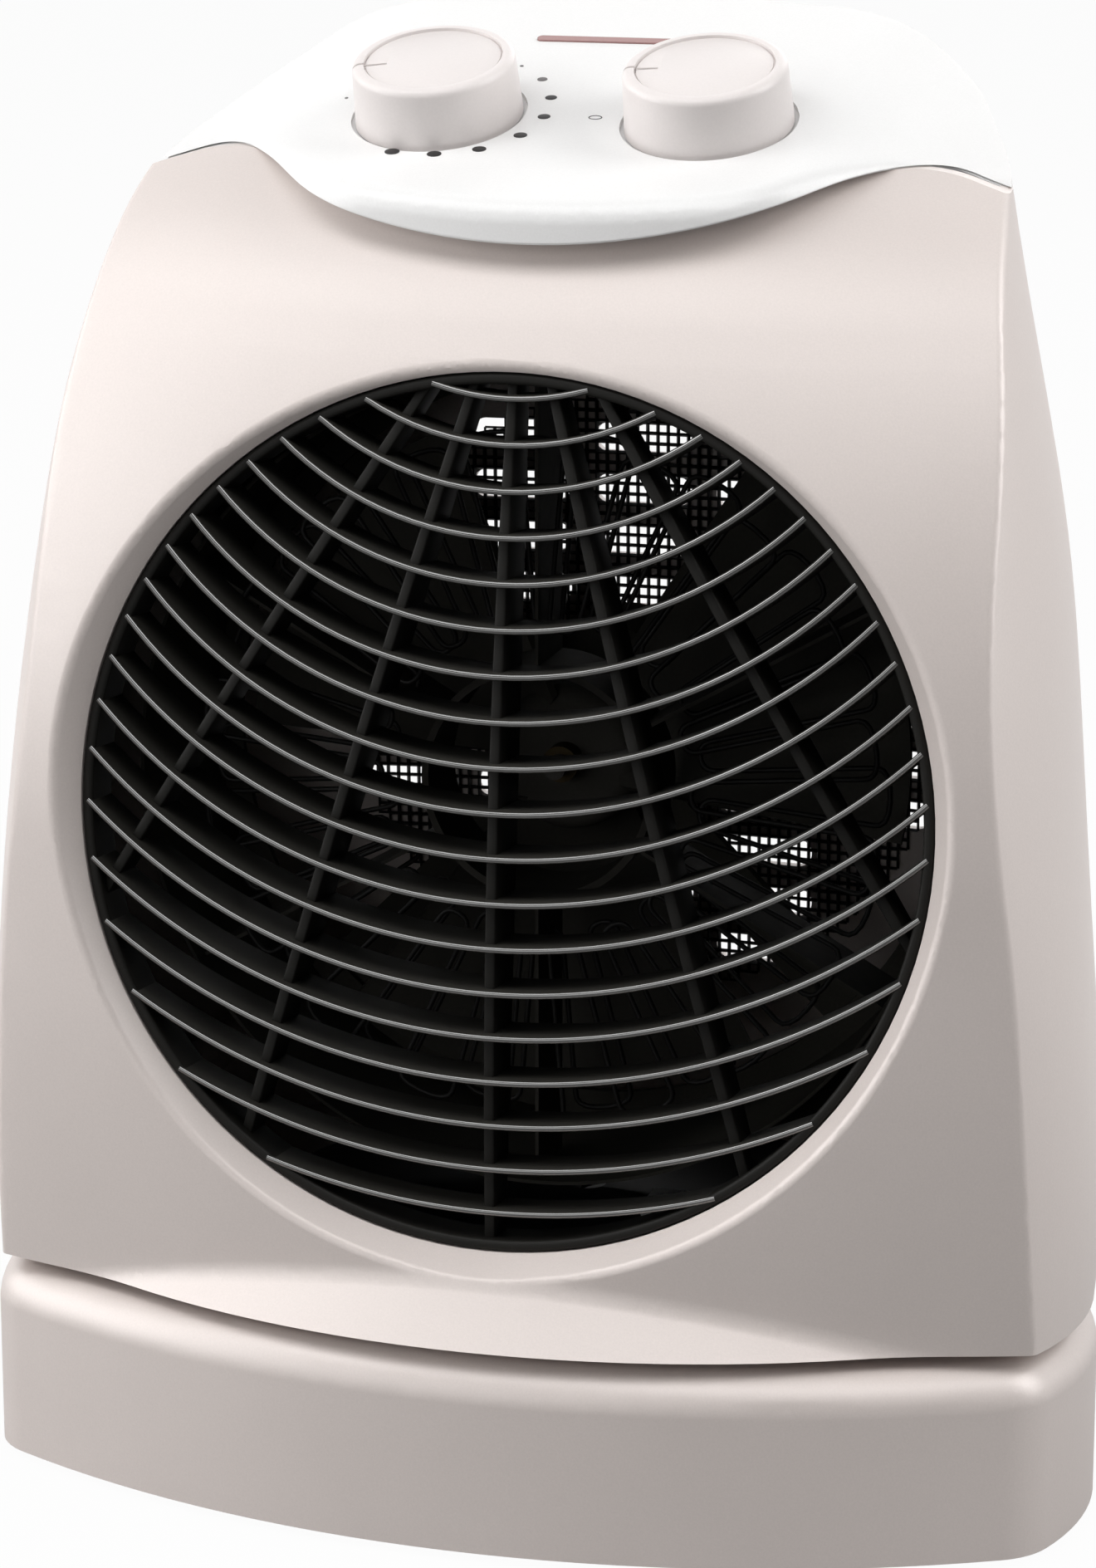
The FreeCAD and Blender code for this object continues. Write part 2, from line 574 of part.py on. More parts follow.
def front_casing():
    """The front shell with the grille's mouth, its collar and two pairs of screw bosses."""
    seat = num("grille_radius") + num("grille_clearance")
    collar_radius = seat + num("mouth_flare") + num("collar_wall")
    collar_foot = grille_centre - grille_out * num("collar_depth")
    left_full = [bar(collar_radius, num("face_front"), collar_foot, grille_out)]
    left_full += [bar(num("boss_radius"), FAR, vec(x, split - FAR, z), BACK) for x, z in case_bosses()]
    shell = hollow_half(front_half, left_full)
    mouth_run = num("face_front") / 2
    mouth_end = seat + num("mouth_flare") * mouth_run / num("mouth_depth")
    mouth = Part.makeCone(seat, mouth_end, mouth_run, grille_centre, grille_out)
    bore = bar(seat, num("face_front"), collar_foot - grille_out * num("collar_depth"), grille_out)
    shell = shell.cut(mouth.fuse(bore)).cut(turntable_hole())
    rim = [edge for edge in shell.Edges if is_mouth_edge(edge, seat)]
    shell = shell.makeFillet(num("mouth_edge_round"), rim)
    tip = casing_screw_heights()[1]
    holes = [bar(screw_hole, split - tip + num("screw_radius"), vec(x, tip - num("screw_radius"), z), BACK)
             for x, z in case_bosses()]
    return shell.cut(Part.Compound(holes))


def is_mouth_edge(edge, seat):
    """An edge of the mouth's funnel where it meets the face."""
    if isinstance(edge.Curve, (Part.Line, Part.LineSegment)):
        return False
    for point in edge.discretize(5):
        rise = (point - grille_centre).dot(grille_out)
        from_axis = (point - grille_centre - grille_out * rise).Length
        funnel = seat + num("mouth_flare") * rise / num("mouth_depth")
        if rise < num("grille_clearance") or abs(from_axis - funnel) > NEAR:
            return False
    return True


def intake_slots():
    """Rounded slots in rows across the back, within a circle about the fan's axis."""
    half = (num("intake_slot") - num("intake_slot_height")) / 2
    end = num("intake_slot_height") / 2
    reach = num("intake_radius")
    rows = int(reach / num("intake_pitch_z"))
    columns = int(reach / num("intake_pitch_x"))
    start_y = num("frame_front_y") + num("motor_length")
    slots = []
    for row in range(-rows, rows + 1):
        for column in range(-columns, columns + 1):
            x, z = column * num("intake_pitch_x"), row * num("intake_pitch_z")
            if math.hypot(abs(x) + half, z) > reach:
                continue
            place = vec(x, start_y, float(fan_axis_z) + z)
            corners = [place + vec(-half, 0, -end), place + vec(half, 0, -end), place + vec(half + end, 0, 0),
                       place + vec(half, 0, end), place + vec(-half, 0, end), place + vec(-half - end, 0, 0)]
            edges = [line(corners[0], corners[1]), arc(*corners[1:4]), line(corners[3], corners[4]),
                     arc(corners[4], corners[5], corners[0])]
            slots.append(Part.Face(Part.Wire(edges)).extrude(vec(0, FAR, 0)))
    return Part.Compound(slots)


def rear_casing():
    """The rear shell with its intake slots, screw bosses and the posts of the fan frame."""
    frame_back = num("frame_front_y") + num("frame_thickness") + num("spider_thickness")
    left_full = [bar(num("boss_radius"), FAR, vec(x, split, z), BACK) for x, z in case_bosses()]
    left_full += [bar(num("post_radius"), FAR, vec(x, frame_back, z), BACK) for x, z in frame_posts()]
    shell = hollow_half(back_half, left_full)
    head_y = casing_screw_heights()[0]
    cuts = [turntable_hole(), intake_slots()]
    for x, z in case_bosses():
        cuts.append(bar(screw_hole, FAR, vec(x, split - OVERCUT, z), BACK))
        cuts.append(bar(num("boss_counterbore"), FAR, vec(x, head_y, z), BACK))
    for x, z in frame_posts():
        cuts.append(bar(screw_hole, num("screw_length") + num("screw_radius"), vec(x, frame_back, z), BACK))
    return shell.cut(Part.Compound(cuts))


def control_panel():
    """The white hood: bell roof, rounded nose, wells for two knobs and the lamp's slot."""
    outer = roof_solid(0.0).common(panel_plan(0.0)).common(head_sides(0.0))
    nose = [edge for edge in outer.Edges if is_nose_edge(edge)]
    outer = outer.makeFillet(num("nose_edge_round"), nose)
    outer = outer.cut(seam_side(num("seam_gap")))
    wall = num("panel_wall")
    cavity = roof_solid(wall / math.cos(math.radians(num("panel_slope"))))
    cavity = cavity.common(head_sides(wall)).common(panel_plan(num("nose_depth")))
    cuts = [cavity]
    for side in (-1, 1):
        x = side * num("knob_spread")
        cuts.append(bar(num("well_radius"), FAR, on_panel(x, 0, -num("well_depth")), panel_out))
        cuts.append(bar(num("panel_hole_radius"), FAR, on_panel(x, 0, -FAR / 2), panel_out))
    cuts.append(lens_block(num("lens_fit"), -wall - num("lens_depth"), num("lens_proud") + OVERCUT))
    for cut in cuts:
        outer = outer.cut(cut)
    return outer


def is_nose_edge(edge):
    """An edge between the roof and the wall of the nose."""
    middle = edge.valueAt((edge.FirstParameter + edge.LastParameter) / 2)
    slope = math.tan(math.radians(num("panel_slope")))
    roof = panel_point.z + (middle.y - panel_point.y) * slope
    within = abs(middle.x) < num("bell_flat") + num("nose_flank_length")
    return within and middle.y < panel_point.y and middle.z > roof - num("nose_edge_band")


def lens_block(fit, low, high):
    """The slim lens with round ends, set across the panel between the two knobs."""
    end = num("lens_width") / 2 + fit
    half = num("lens_length") / 2 - num("lens_width") / 2
    along = num("lens_y")
    places = [(-half, -end), (half, -end), (half + end, 0), (half, end), (-half, end), (-half - end, 0)]
    corners = [on_panel(x, along + y, low) for x, y in places]
    edges = [line(corners[0], corners[1]), arc(*corners[1:4]), line(corners[3], corners[4]),
             arc(corners[4], corners[5], corners[0])]
    return Part.Face(Part.Wire(edges)).extrude(panel_out * (high - low))


feature("front_casing", front_casing())
feature("rear_casing", rear_casing())
feature("control_panel", control_panel())


def front_grille():
    """A ring with smile-curved slats on five spreading ribs, its front gently domed."""
    radius, rim = num("grille_radius"), num("grille_rim")
    depth, dome = num("grille_depth"), num("grille_dome")
    disc = bar(radius - rim / 2, depth + dome, vec(0, 0, -depth))
    ring = bar(radius, depth, vec(0, 0, -depth)).cut(bar(radius - rim, depth, vec(0, 0, -depth)))
    half = num("slat_thickness") / 2
    slats = []
    for k in range(int(num("slat_count"))):
        bend = num("slat_first_radius") + k * num("slat_radius_step")
        centre = vec(0, radius - num("slat_first_drop") - k * num("slat_pitch") + bend, -depth)
        hoop = bar(bend + half, depth + dome, centre).cut(bar(bend - half, depth + dome, centre))
        slats.append(hoop.common(disc))
    ribs = []
    focus = vec(0, radius + num("rib_focus"), 0)
    rib_half, rib_count = num("rib_width") / 2, int(num("rib_count"))
    for k in range(rib_count):
        rib = box(-rib_half, rib_half, -FAR, 0, -depth, dome - num("rib_recess"))
        rib.translate(focus)
        rib.rotate(focus, UP, (k - (rib_count - 1) / 2) * num("rib_spread"))
        ribs.append(rib.common(disc))
    ball_radius = (radius ** 2 + dome ** 2) / (2 * dome)
    ball = Part.makeSphere(ball_radius, vec(0, 0, dome - ball_radius))
    inner_ball = Part.makeSphere(ball_radius, vec(0, 0, dome - ball_radius - num("rib_recess")))
    slat_set = [slat.common(ball) for slat in slats]
    rib_set = [rib.common(inner_ball) for rib in ribs]
    grille = join([ring] + slat_set + rib_set)
    grille.Placement = grille_frame.multiply(grille.Placement)
    return grille


feature("front_grille", front_grille())


def screw(place, axis, length):
    """A pan-head screw whose head rests at a place and whose shank runs along an axis."""
    head = bar(num("screw_head_radius"), num("screw_head"), place - axis * num("screw_head"), axis)
    return head.fuse(bar(num("screw_radius"), length, place, axis)).removeSplitter()


def group(label, shapes):
    """Like pieces that share one node."""
    return feature(label, Part.Compound(shapes))


def base_plan(inset, z, height):
    """The stand's plan as a block: bowed front, full sides and rounded front corners."""
    plan = Part.Face(side_section(z, base_half_width, num("widest_y_low"), num("base_back"), inset))
    radius = num("base_front_radius")
    centre = vec(0, radius - num("chin_front") - num("base_margin"), z)
    front = bar(radius - inset, height, centre)
    block = plan.extrude(vec(0, 0, height)).common(front)
    corners = [edge for edge in block.Edges if is_front_corner(edge, height)]
    return block.makeFillet(num("base_corner_round") - inset, corners)


def is_front_corner(edge, height):
    """An upright edge at the outer end of the stand's front."""
    upright = abs(edge.BoundBox.ZLength - height) < NEAR and edge.BoundBox.XLength < NEAR
    middle = edge.BoundBox.Center
    return upright and abs(middle.x) > num("half_width_bottom") / 2 and middle.y < num("widest_y_low")


base_half_width = num("half_width_bottom") + num("base_margin")


def four_places(x, y):
    """The four corners of a rectangle about the origin."""
    return [(sx * x, sy * y) for sx in (-1, 1) for sy in (-1, 1)]


base_boss_places = four_places(base_half_width - num("base_boss_inset"), num("base_boss_y"))
foot_places = four_places(base_half_width - num("foot_side_inset"), num("foot_spread_y"))
plate_bottom = num("foot_drop")
plate_top = plate_bottom + num("base_plate_thickness")
roof_under = float(base_top) - num("base_wall")
bush_outer = size("spigot_radius") + size("bush_fit") + size("bush_wall")
crank_y = num("crank_offset")
crank_top = float(base_top) - num("crank_drop")
crank_bottom = crank_top - num("crank_thickness")
swing_motor_top = roof_under - num("swing_motor_drop")
gland_place = vec(-num("half_width_bottom") * num("gland_share"),
                  num("base_back") - num("gland_margin") - num("gland_length"), num("gland_height"))
tip_x = size("tip_side_inset") - size("half_width_bottom") - size("base_margin")
tip_place = (float(tip_x), num("tip_y"))


def base_shell():
    """The stand's hollow cover with its pivot hub, screw bosses and motor posts."""
    bottom = num("foot_drop")
    block = base_plan(0.0, bottom, num("base_height"))
    rim = [edge for edge in block.Edges if abs(edge.BoundBox.ZMin - float(base_top)) < NEAR]
    block = block.makeFillet(num("base_edge_round"), rim)
    wall = num("base_wall")
    hollow = base_plan(wall, bottom, num("base_height") - wall)
    hollow_rim = [edge for edge in hollow.Edges if abs(edge.BoundBox.ZMin - roof_under) < NEAR]
    hollow = hollow.makeFillet(num("base_edge_round") - wall, hollow_rim)
    hub_wall = num("crank_offset") - num("crank_throw") - num("crank_eye_radius") - num("crank_room")
    hub = bar(hub_wall - num("crank_drop"), num("bush_length"),
              vec(0, 0, float(base_top) - num("bush_length")))
    bosses = [bar(num("boss_radius"), roof_under - plate_top, vec(x, y, plate_top))
              for x, y in base_boss_places]
    posts = [bar(num("swing_post_radius"), num("swing_motor_drop"),
                 vec(side * num("swing_ear_spread"), crank_y, swing_motor_top)) for side in (-1, 1)]
    shell = join([block.cut(hollow), hub] + bosses + posts)
    well = num("crank_throw") + num("crank_eye_radius") + num("crank_room")
    pivot = bar(float(bush_outer) + num("bush_press"), FAR, vec(0, 0, 0))
    crank_well = bar(well, FAR, vec(0, crank_y, roof_under - OVERCUT))
    holes = [bar(num("gland_radius") + num("gland_fit"), FAR, gland_place, BACK)]
    holes += [bar(screw_hole, num("screw_length") + num("screw_radius"), vec(x, y, plate_top))
              for x, y in base_boss_places]
    holes += [bar(screw_hole, num("swing_motor_drop"),
                  vec(side * num("swing_ear_spread"), crank_y, swing_motor_top)) for side in (-1, 1)]
    return shell.cut(pivot).cut(crank_well).cut(Part.Compound(holes))


def base_plate():
    """The flat cover under the stand, with pockets for feet and screw heads."""
    thickness = num("base_plate_thickness")
    plate = base_plan(num("base_wall") + num("plate_clearance"), plate_bottom, thickness)
    guide = bar(num("plunger_stem") + num("plunger_fit") + num("guide_wall"), num("guide_height"),
                vec(*tip_place, plate_top))
    plate = join([plate, guide])
    cuts = [bar(num("foot_radius") + num("plate_clearance"), num("foot_recess"), vec(x, y, plate_bottom))
            for x, y in foot_places]
    for x, y in base_boss_places:
        cuts.append(bar(screw_hole, thickness, vec(x, y, plate_bottom)))
        head_room = num("screw_head_radius") + num("counterbore_fit")
        cuts.append(bar(head_room, num("counterbore_depth"), vec(x, y, plate_bottom)))
    cuts.append(bar(num("plunger_stem") + num("plunger_fit"), FAR, vec(*tip_place, 0)))
    return plate.cut(Part.Compound(cuts))


feature("base_shell", base_shell())
feature("base_plate", base_plate())
group("rubber_feet", [bar(num("foot_radius"), num("foot_drop") + num("foot_recess"), vec(x, y, 0))
                      for x, y in foot_places])
group("base_screws", [screw(vec(x, y, plate_bottom + num("counterbore_depth")), UP, num("screw_length"))
                      for x, y in base_boss_places])
glide_turns = (-90, -145, -35, 168, 12)
group("glide_pads", [bar(num("glide_radius"), num("swing_gap") - num("glide_clearance"),
                         vec(num("glide_circle") * math.cos(math.radians(turn)),
                             num("glide_circle") * math.sin(math.radians(turn)), float(base_top)))
                     for turn in glide_turns])

bush = turned("pivot_bush", [
    (size("spigot_radius") + size("bush_fit"), NO_SIZE), (bush_outer, NO_SIZE),
    (bush_outer, size("bush_length")), (size("bush_flange_radius"), size("bush_length")),
    (size("bush_flange_radius"), size("bush_length") + size("bush_flange")),
    (size("spigot_radius") + size("bush_fit"), size("bush_length") + size("bush_flange"))])
bind_place(bush, NO_SIZE, NO_SIZE, base_top - size("bush_length"))

clip_top = float(base_top) - num("bush_length") - num("clip_gap")
clip_bottom = clip_top - num("clip_thickness")


def turntable():
    """The head's round foot: a hollow spigot for the pivot and a slot for the crank's pin."""
    spigot_foot = clip_bottom - num("spigot_tail")
    disc = bar(num("turntable_radius"), num("turntable_thickness"), vec(0, 0, float(floor_top)))
    boss = bar(num("turntable_boss"), num("case_wall"), vec(0, 0, HEAD))
    spigot = bar(num("spigot_radius"), HEAD - spigot_foot, vec(0, 0, spigot_foot))
    groove = bar(num("spigot_radius") * 2, num("clip_thickness"), vec(0, 0, clip_bottom)).cut(
        bar(num("spigot_radius") - num("clip_depth"), num("clip_thickness"), vec(0, 0, clip_bottom)))
    near, far = crank_y - num("crank_throw"), crank_y + num("crank_throw")
    half = num("pin_radius") + num("slot_clearance")
    slot = join([box(-half, half, near, far, HEAD, HEAD + FAR), bar(half, FAR, vec(0, near, HEAD)),
                 bar(half, FAR, vec(0, far, HEAD))])
    holes = [bar(screw_hole, FAR, vec(x, y, HEAD)) for x, y in turntable_screw_places()]
    body = join([disc, boss, spigot]).cut(groove).cut(slot)
    return body.cut(Part.Compound([bar(num("spigot_bore"), FAR, vec(0, 0, 0))] + holes))


def pivot_clip():
    """An open spring clip in the spigot's groove, under the bush."""
    ring = bar(num("clip_radius"), num("clip_thickness"), vec(0, 0, clip_bottom))
    inner = num("spigot_radius") - num("clip_depth") + num("bush_press")
    mouth = box(-num("clip_mouth"), num("clip_mouth"), -FAR, 0, 0, FAR)
    return ring.cut(bar(inner, FAR, vec(0, 0, 0))).cut(mouth)


feature("turntable", turntable())
feature("pivot_clip", pivot_clip())
turntable_top = float(floor_top) + num("turntable_thickness")
group("turntable_screws", [screw(vec(x, y, turntable_top), -UP, turntable_top - HEAD - num("screw_fit"))
                           for x, y in turntable_screw_places()])


def swing_motor():
    """A flat geared motor that hangs by two ears under the stand's roof."""
    top = swing_motor_top
    can = bar(num("swing_motor_radius"), num("swing_motor_height"),
              vec(0, crank_y, top - num("swing_motor_height")))
    spread, ear = num("swing_ear_spread"), num("swing_ear_radius")
    ear_bottom = top - num("swing_ear_thickness")
    ears = [box(-spread, spread, crank_y - ear, crank_y + ear, ear_bottom, top)]
    ears += [bar(ear, num("swing_ear_thickness"), vec(side * spread, crank_y, ear_bottom))
             for side in (-1, 1)]
    nose = bar(num("crank_hub_radius"), num("swing_nose_height"), vec(0, crank_y, top))
    shaft_foot = crank_bottom - num("crank_shaft_length")
    cuts = [bar(num("crank_shaft_radius") + num("crank_shaft_fit"), FAR,
                vec(0, crank_y, shaft_foot - num("crank_drop")))]
    cuts += [bar(screw_hole, FAR, vec(side * spread, crank_y, ear_bottom - OVERCUT)) for side in (-1, 1)]
    return join([can, nose] + ears).cut(Part.Compound(cuts))


def swing_crank():
    """The crank with its shaft below and the driving pin above."""
    pin_y = crank_y + num("crank_throw")
    thickness = num("crank_thickness")
    eye = num("crank_eye_radius")
    arm = num("crank_arm_width") / 2
    pin_height = turntable_top - crank_top - num("crank_drop")
    shaft = bar(num("crank_shaft_radius"), num("crank_shaft_length"),
                vec(0, crank_y, crank_bottom - num("crank_shaft_length")))
    return join([bar(num("crank_hub_radius"), thickness, vec(0, crank_y, crank_bottom)),
                 bar(eye, thickness, vec(0, pin_y, crank_bottom)),
                 box(-arm, arm, crank_y, pin_y, crank_bottom, crank_top), shaft,
                 bar(num("pin_radius"), pin_height, vec(0, pin_y, crank_top))])


feature("swing_motor", swing_motor())
feature("swing_crank", swing_crank())
ear_foot = swing_motor_top - num("swing_ear_thickness")
group("swing_motor_screws", [screw(vec(side * num("swing_ear_spread"), crank_y, ear_foot), UP,
                                   num("swing_motor_drop")) for side in (-1, 1)])

plunger = turned("tip_plunger", [
    (NO_SIZE, NO_SIZE), (size("plunger_foot"), NO_SIZE), (size("plunger_foot"), size("plunger_foot_height")),
    (size("plunger_stem"), size("plunger_foot_height")), (size("plunger_stem"), size("plunger_length")),
    (NO_SIZE, size("plunger_length"))])
bind_place(plunger, tip_x, size("tip_y"), size("plunger_lift"))


def tip_switch():
    """A small switch on two legs over the plunger, with its back to the stand's middle."""
    x, y = tip_place
    low = num("plunger_lift") + num("plunger_length") + num("tip_switch_gap")
    half, width = num("tip_switch_length") / 2, num("tip_switch_width") / 2
    leg = half - num("plunger_stem") - num("plunger_fit") - num("guide_wall") - num("guide_wall") / 2
    block = box(x - half, x + half, y - width, y + width, low, low + num("tip_switch_height"))
    legs = [box(x - half, x - half + leg, y - width, y + width, plate_top, low),
            box(x + half - leg, x + half, y - width, y + width, plate_top, low)]
    return join([block] + legs)


feature("tip_switch", tip_switch())

gland = turned("cable_gland", [
    (size("gland_bore"), NO_SIZE), (size("gland_radius"), NO_SIZE),
    (size("gland_radius"), size("gland_length") - size("gland_flange_back") - size("gland_flange")),
    (size("gland_flange_radius"), size("gland_length") - size("gland_flange_back") - size("gland_flange")),
    (size("gland_flange_radius"), size("gland_length") - size("gland_flange_back")),
    (size("gland_radius"), size("gland_length") - size("gland_flange_back")),
    (size("gland_radius"), size("gland_length")), (size("gland_bore"), size("gland_length"))])
gland.Placement = FreeCAD.Placement(gland_place, FreeCAD.Rotation(RIGHT, -90))

axis_z = float(fan_axis_z)
frame_front = num("frame_front_y")
spider_front = frame_front + num("frame_thickness")
motor_front = spider_front + num("spider_thickness")
motor_back = motor_front + num("motor_length")
along_axis = FreeCAD.Rotation(RIGHT, -90)


def axial(radius, start, end):
    """A cylinder on the fan's axis between two y places."""
    return bar(radius, end - start, vec(0, start, axis_z), BACK)


def fan_frame():
    """The ring plate that carries the sleeve and the motor's bracket."""
    plate = axial(num("frame_outer_radius"), frame_front, spider_front)
    holes = [bar(screw_hole, FAR, vec(x, 0, z), BACK) for x, z in frame_posts()]
    return plate.cut(axial(num("frame_inner_radius"), 0, FAR)).cut(Part.Compound(holes))


def motor_bracket():
    """A hub on four arms behind the fan, screwed to the same posts as the frame."""
    arms = []
    for x, z in frame_posts():
        reach = math.hypot(x, z - axis_z)
        arm = box(0, reach, spider_front, motor_front, -num("spider_arm") / 2, num("spider_arm") / 2)
        arm.rotate(vec(0, 0, 0), BACK, -math.degrees(math.atan2(z - axis_z, x)))
        arm.translate(vec(0, 0, axis_z))
        arms.append(arm)
        arms.append(bar(num("spider_arm") / 2, num("spider_thickness"), vec(x, spider_front, z), BACK))
    hub = axial(num("spider_hub_radius"), spider_front, motor_front)
    holes = [bar(screw_hole, FAR, vec(x, 0, z), BACK) for x, z in frame_posts()]
    seat = axial(num("bearing_radius") + num("shaft_fit"), 0, FAR)
    return join([hub] + arms).cut(seat).cut(Part.Compound(holes))


feature("fan_frame", fan_frame())
feature("motor_bracket", motor_bracket())
group("frame_screws", [screw(vec(x, frame_front, z), BACK, motor_front - frame_front + num("screw_length"))
                       for x, z in frame_posts()])

bearing_seat = size("bearing_radius") + size("shaft_fit")
can = turned("motor_can", [
    (size("motor_radius") - size("motor_wall"), NO_SIZE), (size("motor_radius"), NO_SIZE),
    (size("motor_radius"), size("motor_length")), (bearing_seat, size("motor_length")),
    (bearing_seat, size("motor_length") - size("motor_wall")),
    (size("motor_radius") - size("motor_wall"), size("motor_length") - size("motor_wall"))])
can.Placement = FreeCAD.Placement(vec(0, motor_front, axis_z), along_axis)
stator_outer = size("motor_radius") - size("motor_wall") - size("shaft_fit")
stator = turned("motor_stator", [
    (size("stator_inner"), NO_SIZE), (stator_outer, NO_SIZE), (stator_outer, size("stator_length")),
    (size("stator_inner"), size("stator_length"))])
stator.Placement = FreeCAD.Placement(vec(0, motor_front + num("stator_end_gap"), axis_z), along_axis)


def bearing(middle):
    half = num("bearing_length") / 2
    ring = axial(num("bearing_radius"), middle - half, middle + half)
    return ring.cut(axial(num("shaft_radius") + num("shaft_fit"), -FAR, FAR))


group("motor_bearings", [bearing((spider_front + motor_front) / 2),
                         bearing(motor_back - num("motor_wall") / 2)])
shaft_start = frame_front - num("shaft_front")
feature("motor_shaft", axial(num("shaft_radius"), shaft_start, motor_back + num("bearing_length")))
rotor_radius = num("stator_inner") - num("rotor_gap")
rotor_start = motor_front + num("stator_end_gap")
shaft_seat = num("shaft_radius") + num("shaft_fit") / 2
feature("motor_rotor", axial(rotor_radius, rotor_start, rotor_start + num("stator_length")).cut(
    axial(shaft_seat, -FAR, FAR)))

fan_back = frame_front - num("fan_gap")
fan_front = fan_back - num("fan_hub_length")


def blade_section(radius, chord, pitch):
    """A thin slanted rectangle across a blade, at a distance from the axis."""
    turn = math.radians(pitch)
    along = vec(0, math.sin(turn), math.cos(turn)) * (chord / 2)
    across = vec(0, math.cos(turn), -math.sin(turn)) * (num("blade_thickness") / 2)
    middle = vec(radius, (fan_front + fan_back) / 2, 0)
    corners = [middle - along - across, middle + along - across, middle + along + across,
               middle - along + across]
    return Part.makePolygon(corners + corners[:1])


def fan():
    """A domed hub with three broad twisted blades."""
    hub = axial(num("fan_hub_radius"), fan_front, fan_back)
    rim = [edge for edge in hub.Edges if abs(edge.BoundBox.YMax - fan_front) < NEAR]
    hub = hub.makeFillet(num("fan_hub_round"), rim)
    root = blade_section(num("blade_root_radius"), num("blade_root_chord"), num("blade_root_pitch"))
    tip = blade_section(num("fan_radius"), num("blade_tip_chord"), num("blade_tip_pitch"))
    blade = Part.makeLoft([root, tip], True, True)
    blade.translate(vec(0, 0, axis_z))
    blade = blade.common(axial(num("fan_radius"), fan_front - FAR, fan_back + FAR))
    count = int(num("blade_count"))
    blades = []
    for k in range(count):
        copy = blade.copy()
        copy.rotate(vec(0, 0, axis_z), BACK, num("blade_start_turn") + k * 360.0 / count)
        blades.append(copy)
    return join([hub] + blades).cut(axial(shaft_seat, -FAR, FAR))


feature("fan", fan())
fan_nut = axial(num("nut_radius"), fan_front - num("nut_length"), fan_front).cut(axial(shaft_seat, -FAR, FAR))
feature("fan_nut", fan_nut)

sleeve_front = frame_front - num("sleeve_length")
feature("heat_sleeve", axial(num("sleeve_radius") + num("sleeve_wall"), sleeve_front, frame_front).cut(
    axial(num("sleeve_radius"), -FAR, FAR)))


def heater_frame():
    """Mica cards that stand out from a central ring like a star and reach the sleeve."""
    front = num("mica_front_y")
    back = front + num("mica_depth")
    ring_radius = num("mica_ring_radius")
    ring = axial(ring_radius, front, back).cut(axial(ring_radius - num("mica_ring_wall"), front, back))
    half = num("mica_thickness") / 2
    reach = num("sleeve_radius") - num("mica_clearance")
    cards = []
    for k in range(int(num("mica_count"))):
        card = box(ring_radius - num("mica_ring_wall") / 2, reach, front, back, -half, half)
        card.rotate(vec(0, 0, 0), BACK, (k + 0.5) * 360 / num("mica_count"))
        card.translate(vec(0, 0, axis_z))
        cards.append(card)
    return join([ring] + cards)


feature("heater_frame", heater_frame())


def winding_path():
    """The daisy of the heating wire: straight spokes joined by round turns, open at one place."""
    loops = int(num("winding_loops"))
    y = num("mica_front_y") - num("wire_lift") - num("wire_radius")
    half = math.pi / (2 * loops)
    far = num("winding_outer") / (1 + math.sin(half))
    near = num("winding_inner") / (1 - math.sin(half))

    def at(radius, turn):
        return vec(radius * math.sin(turn), y, axis_z + radius * math.cos(turn))

    def on_turn(distance, middle, turn):
        radius = distance * math.sin(half)
        return at(distance, middle) + vec(math.sin(turn), 0, math.cos(turn)) * radius

    edges = []
    for k in range(loops):
        middle = 4 * half * k
        left, top, right = middle - math.pi / 2 - half, middle, middle + math.pi / 2 + half
        start, end = on_turn(far, middle, left), on_turn(far, middle, right)
        crown = on_turn(far, middle, top)
        edges.append(line(at(near * math.cos(half), middle - half), at(far * math.cos(half), middle - half)))
        edges.append(arc(start, on_turn(far, middle, (left + top) / 2), crown))
        edges.append(arc(crown, on_turn(far, middle, (top + right) / 2), end))
        edges.append(line(at(far * math.cos(half), middle + half), at(near * math.cos(half), middle + half)))
        if k < loops - 1:
            between = middle + 2 * half
            edges.append(arc(at(near * math.cos(half), middle + half),
                             on_turn(near, between, between + math.pi),
                             at(near * math.cos(half), middle + 3 * half)))
    return Part.Wire(edges)


def heater_winding():
    """One unbroken round wire along the daisy."""
    path = winding_path()
    first = path.OrderedEdges[0]
    start = first.valueAt(first.FirstParameter)
    ring = Part.Wire(Part.makeCircle(num("wire_radius"), start, first.tangentAt(first.FirstParameter)))
    shell = Part.BRepOffsetAPI.MakePipeShell(path)
    shell.add(ring)
    shell.build()
    shell.makeSolid()
    return shell.shape()


feature("heater_winding", heater_winding())
loop_half = math.pi / (2 * int(num("winding_loops")))
spoke_run = 2 * num("winding_inner") * math.sin(loop_half) / (1 - math.sin(loop_half))
spoke_gap = spoke_run - 2 * num("wire_radius")
print("least gap between spokes of the winding %.2f" % spoke_gap)

cutout_foot = axis_z + num("sleeve_radius") + num("sleeve_wall") + num("cutout_lift")
feature("thermal_cutout", box(-num("cutout_length") / 2, num("cutout_length") / 2, num("cutout_y"),
                              num("cutout_y") + num("cutout_width"), cutout_foot,
                              cutout_foot + num("cutout_height")))

knob_rise = size("knob_height") + size("well_depth") - size("well_gap")
knob_dish = knob_rise - size("knob_dish_depth")
knob_ceiling = knob_dish - size("knob_wall")
knob_inner = size("knob_foot_radius") - size("knob_wall")
knob_bore = size("spindle_radius") + size("spindle_fit") / 2
knob_foot_out = num("well_gap") - num("well_depth")


